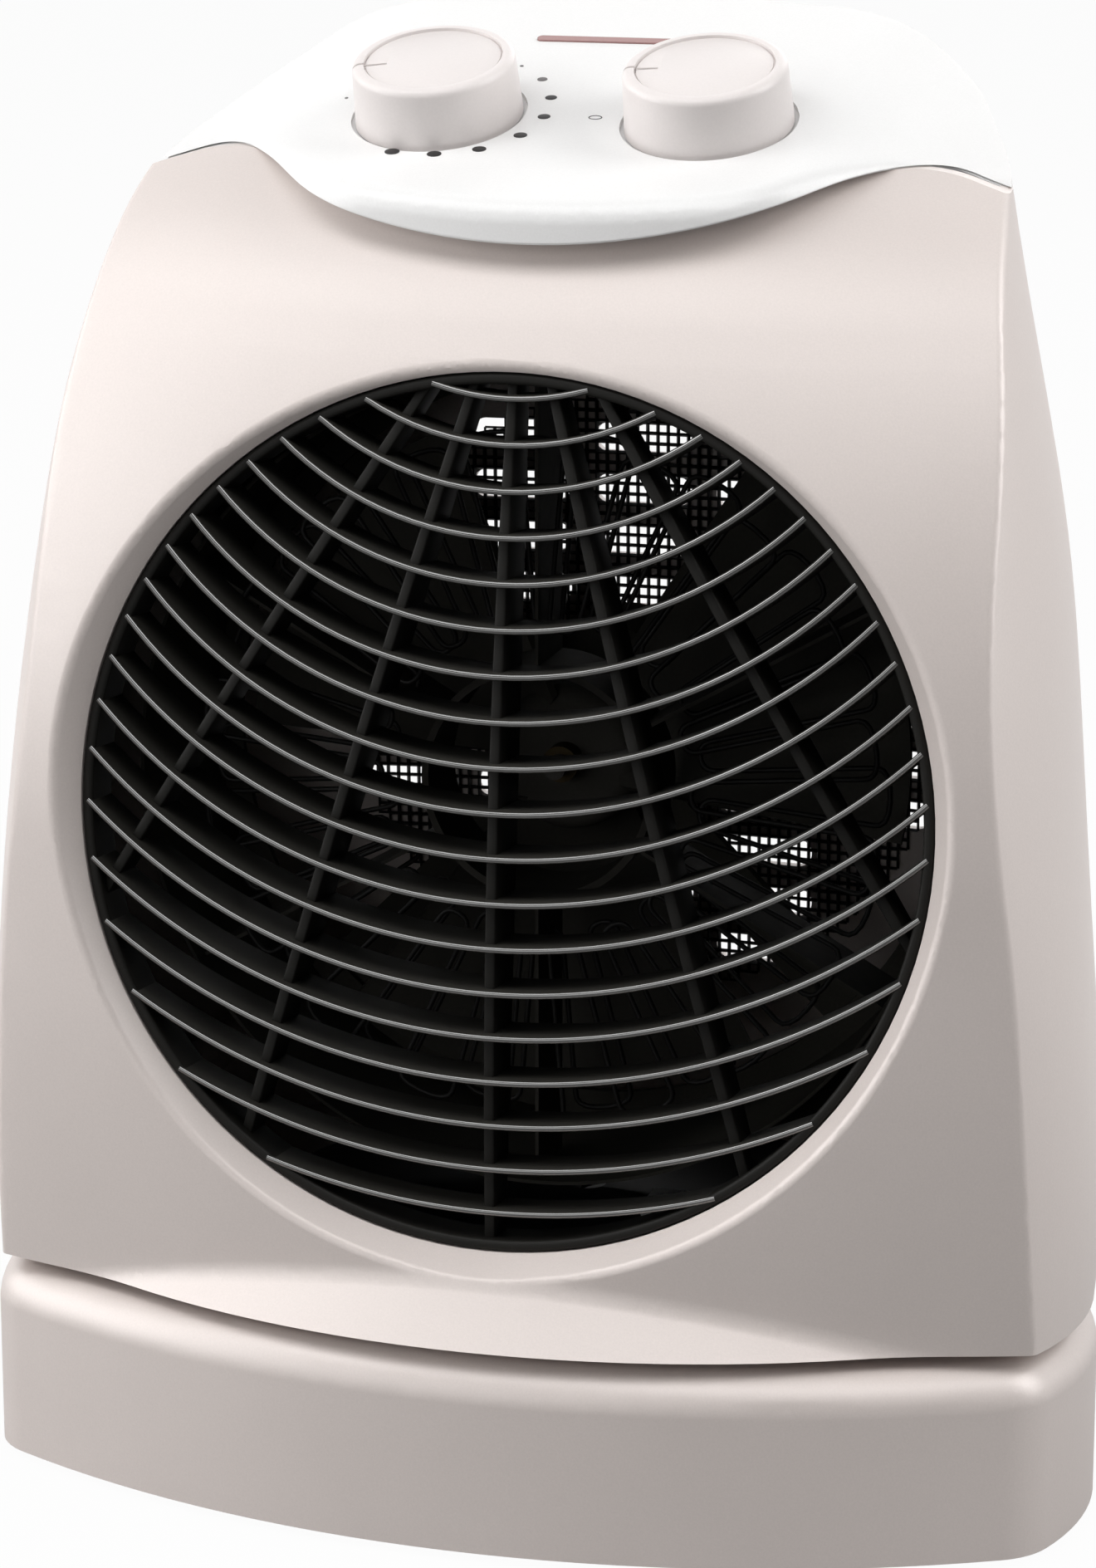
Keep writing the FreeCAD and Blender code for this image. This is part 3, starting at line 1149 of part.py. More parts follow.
def knob(label, x, rest_turn):
    """A round knob with a raised rim, a shallow dish and a notch that points to the left."""
    body = turned(label, [
        (knob_bore, size("knob_wall")), (size("knob_boss_radius"), size("knob_wall")),
        (size("knob_boss_radius"), knob_ceiling), (knob_inner, knob_ceiling), (knob_inner, NO_SIZE),
        (size("knob_foot_radius"), NO_SIZE), (size("knob_top_radius"), knob_rise - size("knob_edge")),
        (size("knob_top_radius") - size("knob_edge"), knob_rise), (size("knob_dish_radius"), knob_rise),
        (size("knob_dish_radius"), knob_dish), (NO_SIZE, knob_dish), (NO_SIZE, knob_ceiling),
        (knob_bore, knob_ceiling)])
    notch = body.newObject("PartDesign::SubtractiveBox", label + "_notch")
    notch.setExpression("Length", "sizes.notch_length")
    notch.setExpression("Width", "sizes.notch_width")
    notch.setExpression("Height", "sizes.knob_height")
    notch_floor = knob_dish - size("notch_depth")
    bind_place(notch, -size("knob_top_radius"), -(size("notch_width") / 2), notch_floor)
    doc.recompute()
    turn = knob_turn.multiply(FreeCAD.Rotation(UP, rest_turn))
    body.Placement = FreeCAD.Placement(on_panel(x, 0, knob_foot_out), turn)


def spindle(label, x):
    """The shaft between a knob and its switch."""
    rod = doc.addObject("Part::Cylinder", label)
    rod.setExpression("Radius", "sizes.spindle_radius")
    rod.setExpression("Height", "sizes.spindle_length")
    top = knob_foot_out + float(knob_ceiling)
    rod.Placement = FreeCAD.Placement(on_panel(x, 0, top - num("spindle_length")), knob_turn)
    keep(rod, label)


switch_top = -num("panel_wall") - num("switch_lift")
switch_bottom = switch_top - num("switch_height")
spindle_room = num("spindle_radius") + num("spindle_fit")
spindle_end = knob_foot_out + float(knob_ceiling) - num("spindle_length")


def switch_bore(x):
    floor = spindle_end - num("switch_lift")
    return bar(spindle_room, FAR, on_panel(x, 0, floor), panel_out)


def thermostat():
    """The round thermostat under the left knob."""
    x = -num("knob_spread")
    return bar(num("switch_width") / 2, num("switch_height"), on_panel(x, 0, switch_bottom), panel_out).cut(
        switch_bore(x))


def mode_switch():
    """The square rotary switch under the right knob."""
    x = num("knob_spread")
    half = num("switch_width") / 2
    block = box(-half, half, -half, half, 0, num("switch_height"))
    block.Placement = FreeCAD.Placement(on_panel(x, 0, switch_bottom), knob_turn).multiply(block.Placement)
    return block.cut(switch_bore(x))


for name, side in (("thermostat", -1), ("mode", 1)):
    knob(name + "_knob", side * num("knob_spread"), num(name + "_rest_turn"))
    spindle(name + "_spindle", side * num("knob_spread"))
feature("thermostat", thermostat())
feature("mode_switch", mode_switch())
feature("lamp_lens", lens_block(0.0, -num("lens_depth"), num("lens_proud")))
lamp_drop = num("lens_depth") + num("lamp_gap") + num("lamp_radius")
feature("lamp", bar(num("lamp_radius"), num("lamp_length"),
                    on_panel(-num("lamp_length") / 2, num("lens_y"), -lamp_drop), RIGHT))

case_screw_head, case_screw_tip = casing_screw_heights()
group("casing_screws", [screw(vec(x, case_screw_head, z), -BACK, case_screw_head - case_screw_tip)
                        for x, z in case_bosses()])
terminal = doc.addObject("Part::Box", "terminal_block")
terminal.setExpression("Length", "sizes.terminal_length")
terminal.setExpression("Width", "sizes.terminal_width")
terminal.setExpression("Height", "sizes.terminal_height")
bind_place(terminal, size("terminal_x") - size("terminal_length") / 2,
           size("terminal_y") - size("terminal_width") / 2, floor_top + size("turntable_thickness"))
keep(terminal, "terminal_block")


def check_and_export():
    """Stops on any failed object, then writes each sub-part's solid."""
    doc.recompute()
    for obj in doc.Objects:
        if "Invalid" in obj.State or "Error" in obj.State:
            raise RuntimeError("failed object: %s" % obj.Label)
    os.makedirs("parts", exist_ok=True)
    for obj in sub_parts:
        shape = obj.Shape
        if shape.isNull() or not shape.isValid() or not shape.Solids:
            raise RuntimeError("bad solid: %s" % obj.Label)
        shape.exportStep("parts/%s.step" % obj.Label)
        bounds = shape.BoundBox
        print("%-18s solids %d volume %.0f x %.1f %.1f y %.1f %.1f z %.1f %.1f" % (
            obj.Label, len(shape.Solids), shape.Volume, bounds.XMin, bounds.XMax, bounds.YMin, bounds.YMax,
            bounds.ZMin, bounds.ZMax))


check_and_export()
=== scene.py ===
"""Oscillating fan heater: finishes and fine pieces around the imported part, in metres."""
import math

import bpy
from bpy.props import FloatProperty, FloatVectorProperty, IntProperty, PointerProperty
from mathutils import Matrix, Vector


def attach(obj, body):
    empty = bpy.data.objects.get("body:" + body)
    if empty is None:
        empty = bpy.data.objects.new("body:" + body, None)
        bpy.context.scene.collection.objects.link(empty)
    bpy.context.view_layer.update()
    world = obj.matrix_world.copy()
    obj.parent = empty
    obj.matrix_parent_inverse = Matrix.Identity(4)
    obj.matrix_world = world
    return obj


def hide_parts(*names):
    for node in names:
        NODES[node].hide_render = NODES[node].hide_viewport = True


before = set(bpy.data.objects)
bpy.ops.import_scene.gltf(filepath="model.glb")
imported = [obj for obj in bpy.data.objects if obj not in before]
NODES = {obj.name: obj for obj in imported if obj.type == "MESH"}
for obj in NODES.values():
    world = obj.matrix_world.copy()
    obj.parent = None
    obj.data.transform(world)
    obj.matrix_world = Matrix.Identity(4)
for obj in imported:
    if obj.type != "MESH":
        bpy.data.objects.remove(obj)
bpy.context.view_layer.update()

bl_info = {
    "name": "Fan heater",
    "version": (1, 0, 0),
    "blender": (4, 5, 0),
    "location": "View3D > Sidebar > Fan heater",
    "description": "Finishes and fine pieces of an oscillating fan heater",
    "category": "Object",
}

MM = 0.001
QUARTER_TURN = math.pi / 2

# points nearer than this are one, and a face looks along an axis with this share of its normal
MERGE_DISTANCE = 1e-6
FACING = 0.99

# steps of the small roundings
SOFT_STEPS = 2

# angles in degrees above which an edge is shaded as sharp
CREASE = 40
SHELL_CREASE = 24
KNOB_CREASE = 35
GRILLE_CREASE = 50

# the sloping panel, its knobs and the tilted grille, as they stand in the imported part
PANEL_SLOPE = math.radians(19.35)
PANEL_POINT = Vector((0, 5.7, 307.5)) * MM
PANEL_FRAME = Matrix.Translation(PANEL_POINT) @ Matrix.Rotation(PANEL_SLOPE, 4, "X")
KNOB_SPREAD = 31.1 * MM
GRILLE_POINT = Vector((0, -54.9, 161.9)) * MM
GRILLE_TILT = math.radians(84)
GRILLE_FRAME = Matrix.Translation(GRILLE_POINT) @ Matrix.Rotation(GRILLE_TILT, 4, "X")
FAN_AXIS = Vector((0, 0, 161.9)) * MM


def length(name, default, description):
    """A size that a user would change, given in millimetres and kept in metres."""
    return FloatProperty(name=name, default=default * MM, description=description, unit="LENGTH", precision=5)


def colour(name, default, description):
    """A colour that a user would change."""
    return FloatVectorProperty(name=name, default=default, description=description, subtype="COLOR",
                               min=0, max=1)


class HeaterSizes(bpy.types.PropertyGroup):
    """Sizes of the fine pieces."""
    knob_foot: length("Knob foot radius", 18.9, "Radius where the knob meets the panel")
    knob_top: length("Knob top radius", 18.2, "Radius under the knob's rim")
    knob_rise: length("Knob height", 14.3, "Height from the floor of the well")
    knob_sink: length("Knob sink", 0.8, "How far the knob's foot lies in its well")
    knob_dish: length("Dish radius", 15.6, "Radius of the shallow dish in the knob's top")
    slat_thickness: length("Slat thickness", 1.5, "Thickness of a grille slat")
    slat_pitch: length("Slat pitch", 9.95, "Distance between slats down the middle")
    slat_count: IntProperty(name="Slats", default=19, description="Number of grille slats")
    slat_edge: length("Slat edge", 0.72, "Rounding of a slat's front edge")
    wire_radius: length("Wire radius", 0.6, "Radius of the heating wire")
    wire_loops: IntProperty(name="Wire loops", default=18, description="Loops of the heating wire")


class HeaterColours(bpy.types.PropertyGroup):
    """Colours of the finishes."""
    silver: colour("Silver", (0.715, 0.642, 0.61), "Satin paint of casing and stand")
    white: colour("White", (0.85, 0.845, 0.84), "Moulded control panel")
    knob: colour("Knob", (0.79, 0.74, 0.725), "Moulded knobs")
    black: colour("Black", (0.012, 0.0113, 0.0098), "Moulded ring and ribs of the grille")
    # Painted light: the slats' black is lighter than the black of the same moulding's ring and ribs, to stand
    # for light falling on their flanks inside the grille.
    slat: colour("Slat", (0.03, 0.0285, 0.0245), "Moulded slats of the grille")
    red: colour("Red", (0.36, 0.19, 0.18), "Indicator lens")


def deselect():
    """Leaves edit mode and selects nothing."""
    if bpy.context.object and bpy.context.object.mode != "OBJECT":
        bpy.ops.object.mode_set(mode="OBJECT")
    bpy.ops.object.select_all(action="DESELECT")


def pick(mesh, test, kind="VERT"):
    """Selects the mesh elements that pass a test, in edit mode."""
    bpy.ops.object.mode_set(mode="OBJECT")
    for element in list(mesh.vertices) + list(mesh.edges) + list(mesh.polygons):
        element.select = False
    elements = {"VERT": mesh.vertices, "EDGE": mesh.edges, "FACE": mesh.polygons}[kind]
    for element in elements:
        element.select = test(element)
    bpy.ops.object.mode_set(mode="EDIT")
    bpy.ops.mesh.select_mode(type=kind)


def settle(obj, place=None):
    """Puts the object's place into its mesh, so that it sits at the origin."""
    deselect()
    if place is not None:
        obj.matrix_world = place
    obj.select_set(True)
    bpy.context.view_layer.objects.active = obj
    bpy.ops.object.transform_apply(location=True, rotation=True, scale=True)


def modify(obj, kind, **values):
    """Adds a modifier and applies it."""
    modifier = obj.modifiers.new(kind.lower(), kind)
    for name, value in values.items():
        setattr(modifier, name, value)
    deselect()
    obj.select_set(True)
    bpy.context.view_layer.objects.active = obj
    bpy.ops.object.modifier_apply(modifier=modifier.name)


def smooth(obj, degrees=CREASE):
    """Shades smoothly across edges that bend less than an angle."""
    deselect()
    obj.select_set(True)
    bpy.context.view_layer.objects.active = obj
    bpy.ops.object.shade_smooth_by_angle(angle=math.radians(degrees))


def outward(obj):
    """Merges doubles and turns every face outwards."""
    deselect()
    bpy.context.view_layer.objects.active = obj
    bpy.ops.object.mode_set(mode="EDIT")
    bpy.ops.mesh.select_all(action="SELECT")
    bpy.ops.mesh.remove_doubles(threshold=MERGE_DISTANCE)
    bpy.ops.mesh.normals_make_consistent(inside=False)
    bpy.ops.object.mode_set(mode="OBJECT")


def merge(objects, name):
    """One piece from several."""
    deselect()
    for obj in objects:
        obj.select_set(True)
    bpy.context.view_layer.objects.active = objects[0]
    if len(objects) > 1:
        bpy.ops.object.join()
    objects[0].name = name
    objects[0].data.name = name
    return objects[0]


def copy_of(obj, name):
    """A copy with its own mesh."""
    deselect()
    obj.select_set(True)
    bpy.context.view_layer.objects.active = obj
    bpy.ops.object.duplicate(linked=False)
    made = bpy.context.active_object
    made.name = name
    made.data.name = name
    return made


def remove(obj):
    """Deletes a piece that only helped to shape another."""
    deselect()
    obj.select_set(True)
    bpy.ops.object.delete()


def carve(obj, cutter):
    """Cuts one piece out of another."""
    modify(obj, "BOOLEAN", object=cutter, operation="DIFFERENCE", solver="EXACT")
    remove(cutter)


def smooth_copy(node, name):
    """A merged copy of a solid whose flat facets are shaded as the smooth surfaces that they stand for."""
    obj = bpy.data.objects.new(name, NODES[node].data.copy())
    bpy.context.scene.collection.objects.link(obj)
    deselect()
    obj.select_set(True)
    bpy.context.view_layer.objects.active = obj
    if obj.data.has_custom_normals:
        bpy.ops.mesh.customdata_custom_splitnormals_clear()
    bpy.ops.object.mode_set(mode="EDIT")
    bpy.ops.mesh.select_all(action="SELECT")
    bpy.ops.mesh.remove_doubles(threshold=MERGE_DISTANCE)
    bpy.ops.object.mode_set(mode="OBJECT")
    smooth(obj, SHELL_CREASE)
    modify(obj, "WEIGHTED_NORMAL", keep_sharp=True)
    return obj


def finish_piece(obj, body, slot, material, *stands_for):
    """Gives a piece its finish, the body that it rides on and the solids that it stands for; the slot is not
    used.
    """
    obj.data.materials.clear()
    obj.data.materials.append(material)
    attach(obj, body)
    if stands_for:
        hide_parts(*stands_for)


def socket(group, name, kind, direction, default=None):
    """Adds an input or output to a node group."""
    made = group.interface.new_socket(name=name, in_out=direction, socket_type=kind)
    if default is not None:
        made.default_value = default


GRAIN_SIZE = 1500.0
GRAIN_DETAIL = 3
GRAIN_SHARE = 0.7
CLOUD_SIZE = 25.0
CLOUD_DETAIL = 4
CLOUD_SHARE = 0.3
SHADE_LOW = 0.94
SHADE_FROM = 0.3
SHADE_TO = 0.7
COAT_ROUGHNESS = 0.12


def grain_group():
    """Fine moulded grain: a height for bump, a shade for colour and a mask for roughness."""
    group = bpy.data.node_groups.get("moulded_grain")
    if group:
        return group
    group = bpy.data.node_groups.new("moulded_grain", "ShaderNodeTree")
    socket(group, "Grain size", "NodeSocketFloat", "INPUT", GRAIN_SIZE)
    socket(group, "Cloud size", "NodeSocketFloat", "INPUT", CLOUD_SIZE)
    socket(group, "Shade low", "NodeSocketFloat", "INPUT", SHADE_LOW)
    socket(group, "Height", "NodeSocketFloat", "OUTPUT")
    socket(group, "Shade", "NodeSocketFloat", "OUTPUT")
    socket(group, "Mask", "NodeSocketFloat", "OUTPUT")
    nodes, links = group.nodes, group.links
    inputs = nodes.new("NodeGroupInput")
    outputs = nodes.new("NodeGroupOutput")
    place = nodes.new("ShaderNodeTexCoord")
    fine = nodes.new("ShaderNodeTexNoise")
    fine.inputs["Detail"].default_value = GRAIN_DETAIL
    cloud = nodes.new("ShaderNodeTexNoise")
    cloud.inputs["Detail"].default_value = CLOUD_DETAIL
    links.new(place.outputs["Object"], fine.inputs["Vector"])
    links.new(place.outputs["Object"], cloud.inputs["Vector"])
    links.new(inputs.outputs["Grain size"], fine.inputs["Scale"])
    links.new(inputs.outputs["Cloud size"], cloud.inputs["Scale"])
    shade = nodes.new("ShaderNodeMapRange")
    shade.inputs["From Min"].default_value = SHADE_FROM
    shade.inputs["From Max"].default_value = SHADE_TO
    shade.inputs["To Max"].default_value = 1.0
    links.new(inputs.outputs["Shade low"], shade.inputs["To Min"])
    both = nodes.new("ShaderNodeMath")
    both.operation = "MULTIPLY_ADD"
    both.inputs[1].default_value = GRAIN_SHARE
    links.new(fine.outputs["Fac"], both.inputs[0])
    part = nodes.new("ShaderNodeMath")
    part.operation = "MULTIPLY"
    part.inputs[1].default_value = CLOUD_SHARE
    links.new(cloud.outputs["Fac"], part.inputs[0])
    links.new(part.outputs[0], both.inputs[2])
    links.new(both.outputs[0], shade.inputs["Value"])
    links.new(fine.outputs["Fac"], outputs.inputs["Height"])
    links.new(shade.outputs["Result"], outputs.inputs["Shade"])
    links.new(cloud.outputs["Fac"], outputs.inputs["Mask"])
    return group


def moulded(name, base, roughness, spread=0.06, grain=GRAIN_SIZE, shade_low=SHADE_LOW, bump=0.05, depth=0.02,
            metallic=0.0, coat=0.0, coat_ior=1.5, specular=0.5):
    """A moulded or painted finish with fine grain and gentle clouding."""
    material = bpy.data.materials.get(name)
    if material:
        return material
    material = bpy.data.materials.new(name)
    material.use_nodes = True
    nodes, links = material.node_tree.nodes, material.node_tree.links
    shader = nodes["Principled BSDF"]
    shader.inputs["Metallic"].default_value = metallic
    shader.inputs["Coat Weight"].default_value = coat
    shader.inputs["Coat Roughness"].default_value = COAT_ROUGHNESS
    shader.inputs["Coat IOR"].default_value = coat_ior
    shader.inputs["Specular IOR Level"].default_value = specular
    effect = nodes.new("ShaderNodeGroup")
    effect.node_tree = grain_group()
    effect.inputs["Grain size"].default_value = grain
    effect.inputs["Shade low"].default_value = shade_low
    tint = nodes.new("ShaderNodeMix")
    tint.data_type = "RGBA"
    tint.blend_type = "MULTIPLY"
    tint.inputs["Factor"].default_value = 1.0
    tint.inputs["A"].default_value = (*base, 1)
    links.new(effect.outputs["Shade"], tint.inputs["B"])
    links.new(tint.outputs["Result"], shader.inputs["Base Color"])
    rough = nodes.new("ShaderNodeMapRange")
    rough.inputs["To Min"].default_value = roughness - spread
    rough.inputs["To Max"].default_value = roughness + spread
    links.new(effect.outputs["Mask"], rough.inputs["Value"])
    links.new(rough.outputs["Result"], shader.inputs["Roughness"])
    relief = nodes.new("ShaderNodeBump")
    relief.inputs["Strength"].default_value = bump
    relief.inputs["Distance"].default_value = depth * MM
    links.new(effect.outputs["Height"], relief.inputs["Height"])
    links.new(relief.outputs["Normal"], shader.inputs["Normal"])
    return material


EDGE_MARK = "front_edge"
FLANK_ROUGHNESS = 0.55
FRONT_ROUGHNESS = 0.28


def slat_black(base):
    """Black moulding that is dull on a slat's flanks and polished along its rounded front."""
    made = bpy.data.materials.get("slat_moulding")
    if made:
        return made
    made = moulded("slat_moulding", base, FLANK_ROUGHNESS, grain=1600.0, shade_low=0.8, coat_ior=2.4,
                   specular=0.3)
    nodes, links = made.node_tree.nodes, made.node_tree.links
    shader = nodes["Principled BSDF"]
    mark = nodes.new("ShaderNodeAttribute")
    mark.attribute_name = EDGE_MARK
    polish = nodes.new("ShaderNodeMath")
    polish.operation = "MULTIPLY_ADD"
    polish.inputs[1].default_value = FRONT_ROUGHNESS - FLANK_ROUGHNESS
    links.new(mark.outputs["Fac"], polish.inputs[0])
    links.new(shader.inputs["Roughness"].links[0].from_socket, polish.inputs[2])
    links.new(polish.outputs[0], shader.inputs["Roughness"])
    links.new(mark.outputs["Fac"], shader.inputs["Coat Weight"])
    return made


def finishes():
    """Every finish of the heater, by name."""
    c = bpy.context.scene.heater_colours
    return {
        "silver": moulded("silver_paint", c.silver, 0.44, grain=2200.0, shade_low=0.93, bump=0.35, depth=0.03,
                          metallic=0.1, specular=0.9),
        "white": moulded("white_moulding", c.white, 0.3, spread=0.02, grain=2200.0, shade_low=0.95, bump=0.3,
                         depth=0.03),
        "knob": moulded("knob_moulding", c.knob, 0.36, grain=1800.0, shade_low=0.96, bump=0.15),
        "black": moulded("black_moulding", c.black, 0.5, grain=1600.0, shade_low=0.8, bump=0.1,
                         specular=0.18),
        # painted light: the slats take the lighter black, which stands for light inside the grille
        "slat_black": slat_black(c.slat),
        "dark": moulded("dark_moulding", (0.03, 0.03, 0.031), 0.5, shade_low=0.85, bump=0.2),
        "rubber": moulded("black_rubber", (0.02, 0.02, 0.02), 0.75, shade_low=0.8, bump=0.3),
        "zinc": moulded("zinc_plate", (0.5, 0.5, 0.5), 0.35, grain=700.0, shade_low=0.85, metallic=1.0),
        # Painted shade: the steel sleeve, fan frame, bracket and motor can, the brass bush, bearings and nut,
        # the mica frame and the heating wire are far darker than bare steel, brass, mica and wire, for the
        # shade inside the heater. The fan blades' dark paint is partly their own colour and partly painted
        # shade, and the motor shaft takes the dark motor varnish as painted shade.
        "shaded_steel": moulded("steel_painted_shade", (0.075, 0.072, 0.062), 0.8, shade_low=0.8, specular=0.0),
        "blade": moulded("blade_paint", (0.07, 0.067, 0.058), 0.65, shade_low=0.85, specular=0.1),
        "iron": moulded("motor_varnish", (0.06, 0.055, 0.05), 0.5, shade_low=0.8, metallic=0.5),
        "brass": moulded("plain_brass", (0.06, 0.045, 0.025), 0.5, shade_low=0.75, metallic=1.0),
        "mica": moulded("mica_sheet", (0.06, 0.056, 0.048), 0.65, grain=300.0, shade_low=0.75,
                        specular=0.2),
        "wire": moulded("heating_wire", (0.014, 0.013, 0.012), 0.5, shade_low=0.75, specular=0.4),
        "ceramic": moulded("plain_ceramic", (0.6, 0.58, 0.53), 0.4, shade_low=0.9),
        "red": moulded("lens_red", c.red, 0.22, shade_low=0.92, coat=0.4),
        "print": moulded("dial_print", (0.02, 0.018, 0.018), 0.5, grain=3000.0, shade_low=0.85),
        "print_grey": moulded("dial_print_grey", (0.16, 0.15, 0.15), 0.5, grain=3000.0, shade_low=0.85),
    }


NODE_FINISH = {
    "silver": ("front_casing", "rear_casing", "base_shell"),
    "white": ("control_panel", "terminal_block", "glide_pads"),
    "knob": ("thermostat_knob", "mode_knob"),
    "black": ("front_grille",),
    "dark": ("base_plate", "cable_gland", "turntable", "tip_plunger", "tip_switch", "thermostat",
             "mode_switch"),
    "rubber": ("rubber_feet",),
    "zinc": ("swing_motor", "swing_crank", "base_screws", "swing_motor_screws", "turntable_screws",
             "casing_screws", "frame_screws", "pivot_clip", "thermostat_spindle", "mode_spindle"),
    # painted shade: these steel parts inside the head carry the darkened steel
    "shaded_steel": ("fan_frame", "motor_bracket", "motor_can", "heat_sleeve"),
    "blade": ("fan",),
    "iron": ("motor_stator", "motor_rotor", "motor_shaft"),
    "brass": ("pivot_bush", "motor_bearings", "fan_nut"),
    "mica": ("heater_frame",),
    "wire": ("heater_winding",),
    "ceramic": ("thermal_cutout",),
    "red": ("lamp_lens", "lamp"),
}

# node, body, slot and finish of each smooth shell
SHELLS = (
    ("front_casing", "head", "silver_plastic", "silver"), ("rear_casing", "head", "silver_plastic", "silver"),
    ("base_shell", "base", "silver_plastic", "silver"), ("control_panel", "head", "white_plastic", "white"),
)


class FinishNodes(bpy.types.Operator):
    """Gives every solid of the frame its finish"""
    bl_idname = "heater.finish_nodes"
    bl_label = "Finish the solids"

    def execute(self, context):
        made = finishes()
        for finish, names in NODE_FINISH.items():
            for name in names:
                mesh = NODES[name].data
                mesh.materials.clear()
                mesh.materials.append(made[finish])
        return {"FINISHED"}


class MakeShells(bpy.types.Operator):
    """Makes the smooth shells of the head and the stand"""
    bl_idname = "heater.make_shells"
    bl_label = "Shells"

    def execute(self, context):
        made = finishes()
        for node, body, slot, finish in SHELLS:
            finish_piece(smooth_copy(node, node + "_shell"), body, slot, made[finish], node)
        return {"FINISHED"}


# the seam seen from the front: a sag in the middle, a rounded peak and a straight fall at each side
SEAM_FOOT = 284.5 * MM
SEAM_SAG = 170 * MM
SEAM_PEAK = 45 * MM
SEAM_RISE = math.radians(21)
SEAM_FALL = math.radians(17)
TONGUE_SHRINK = 0.992
TONGUE_MIDDLE = 16 * MM
TONGUE_DROP = 0.42 * MM
TONGUE_HEIGHT = 4 * MM
SLAB_WIDTH = 240 * MM
SLAB_STEPS = 110
CORNER_FORWARD = 3.5 * MM
CORNER_DROP = 2.2 * MM
CORNER_SHRINK = 0.99
CORNER_MIDDLE = Vector((85, 12.2, 296)) * MM
CORNER_SIZE = Vector((30, 7.6, 8)) * MM


class MakeTongue(bpy.types.Operator):
    """Makes the tongue and corners under the panel's edge that close the seam to the casing"""
    bl_idname = "heater.make_tongue"
    bl_label = "Panel tongue"

    def execute(self, context):
        white = finishes()["white"]
        tongue = smooth_copy("control_panel", "panel_tongue")
        middle = Matrix.Translation((0, TONGUE_MIDDLE, -TONGUE_DROP))
        shrink = Matrix.Diagonal((TONGUE_SHRINK, TONGUE_SHRINK, 1, 1))
        settle(tongue, middle @ shrink @ Matrix.Translation((0, -TONGUE_MIDDLE, 0)))
        slab = self.slab()
        modify(tongue, "BOOLEAN", object=slab, operation="INTERSECT", solver="EXACT")
        remove(slab)
        finish_piece(tongue, "head", "white_plastic", white)
        finish_piece(self.corners(), "head", "white_plastic", white)
        return {"FINISHED"}

    def corners(self):
        """The ends of the panel's edge, which reach forward to the casing at both sides."""
        corners = smooth_copy("control_panel", "panel_corners")
        forward = Matrix.Translation((0, -CORNER_FORWARD, -CORNER_DROP))
        settle(corners, forward @ Matrix.Diagonal((CORNER_SHRINK, 1, 1, 1)))
        deselect()
        bpy.ops.mesh.primitive_cube_add(size=1, location=CORNER_MIDDLE)
        box = bpy.context.active_object
        box.scale = CORNER_SIZE
        settle(box)
        modify(box, "MIRROR")
        modify(corners, "BOOLEAN", object=box, operation="INTERSECT", solver="EXACT")
        remove(box)
        return corners

    def slab(self):
        """A bent slab along the seam, as seen from the front."""
        deselect()
        bpy.ops.mesh.primitive_grid_add(x_subdivisions=SLAB_STEPS, y_subdivisions=1, size=SLAB_WIDTH)
        slab = bpy.context.active_object
        settle(slab)
        for vertex in slab.data.vertices:
            vertex.co.z = self.seam(abs(vertex.co.x))
        modify(slab, "SOLIDIFY", thickness=TONGUE_HEIGHT, offset=0)
        return slab

    def seam(self, x):
        """The height of the seam at a distance from the middle."""
        join = SEAM_SAG * math.sin(SEAM_RISE)
        if x < join:
            return SEAM_FOOT + SEAM_SAG - math.sqrt(SEAM_SAG ** 2 - x * x)
        peak_x = join + SEAM_PEAK * math.sin(SEAM_RISE)
        peak_z = SEAM_FOOT + SEAM_SAG * (1 - math.cos(SEAM_RISE)) - SEAM_PEAK * math.cos(SEAM_RISE)
        fall_x = peak_x + SEAM_PEAK * math.sin(SEAM_FALL)
        if x < fall_x:
            return peak_z + math.sqrt(SEAM_PEAK ** 2 - (x - peak_x) ** 2)
        return peak_z + SEAM_PEAK * math.cos(SEAM_FALL) - math.tan(SEAM_FALL) * (x - fall_x)


# node, place across the panel and turn in degrees of each knob
KNOBS = (("thermostat_knob", -KNOB_SPREAD, 16), ("mode_knob", KNOB_SPREAD, 7))
KNOB_SIDES = 96
RIM_EDGE = 1.7 * MM
RIM_STEPS = 6
RIM_NEAR = 0.01 * MM
DISH_DEPTH = 1.1 * MM
DISC_GAP = 0.5 * MM
DISC_RISE = 0.6 * MM
POINTER_MIDDLE = 14.6 * MM
POINTER_SIZE = (8.4 * MM, 0.9 * MM, 2.4 * MM)
POINTER_EDGE = 0.22 * MM
POINTER_BEND = math.radians(40)


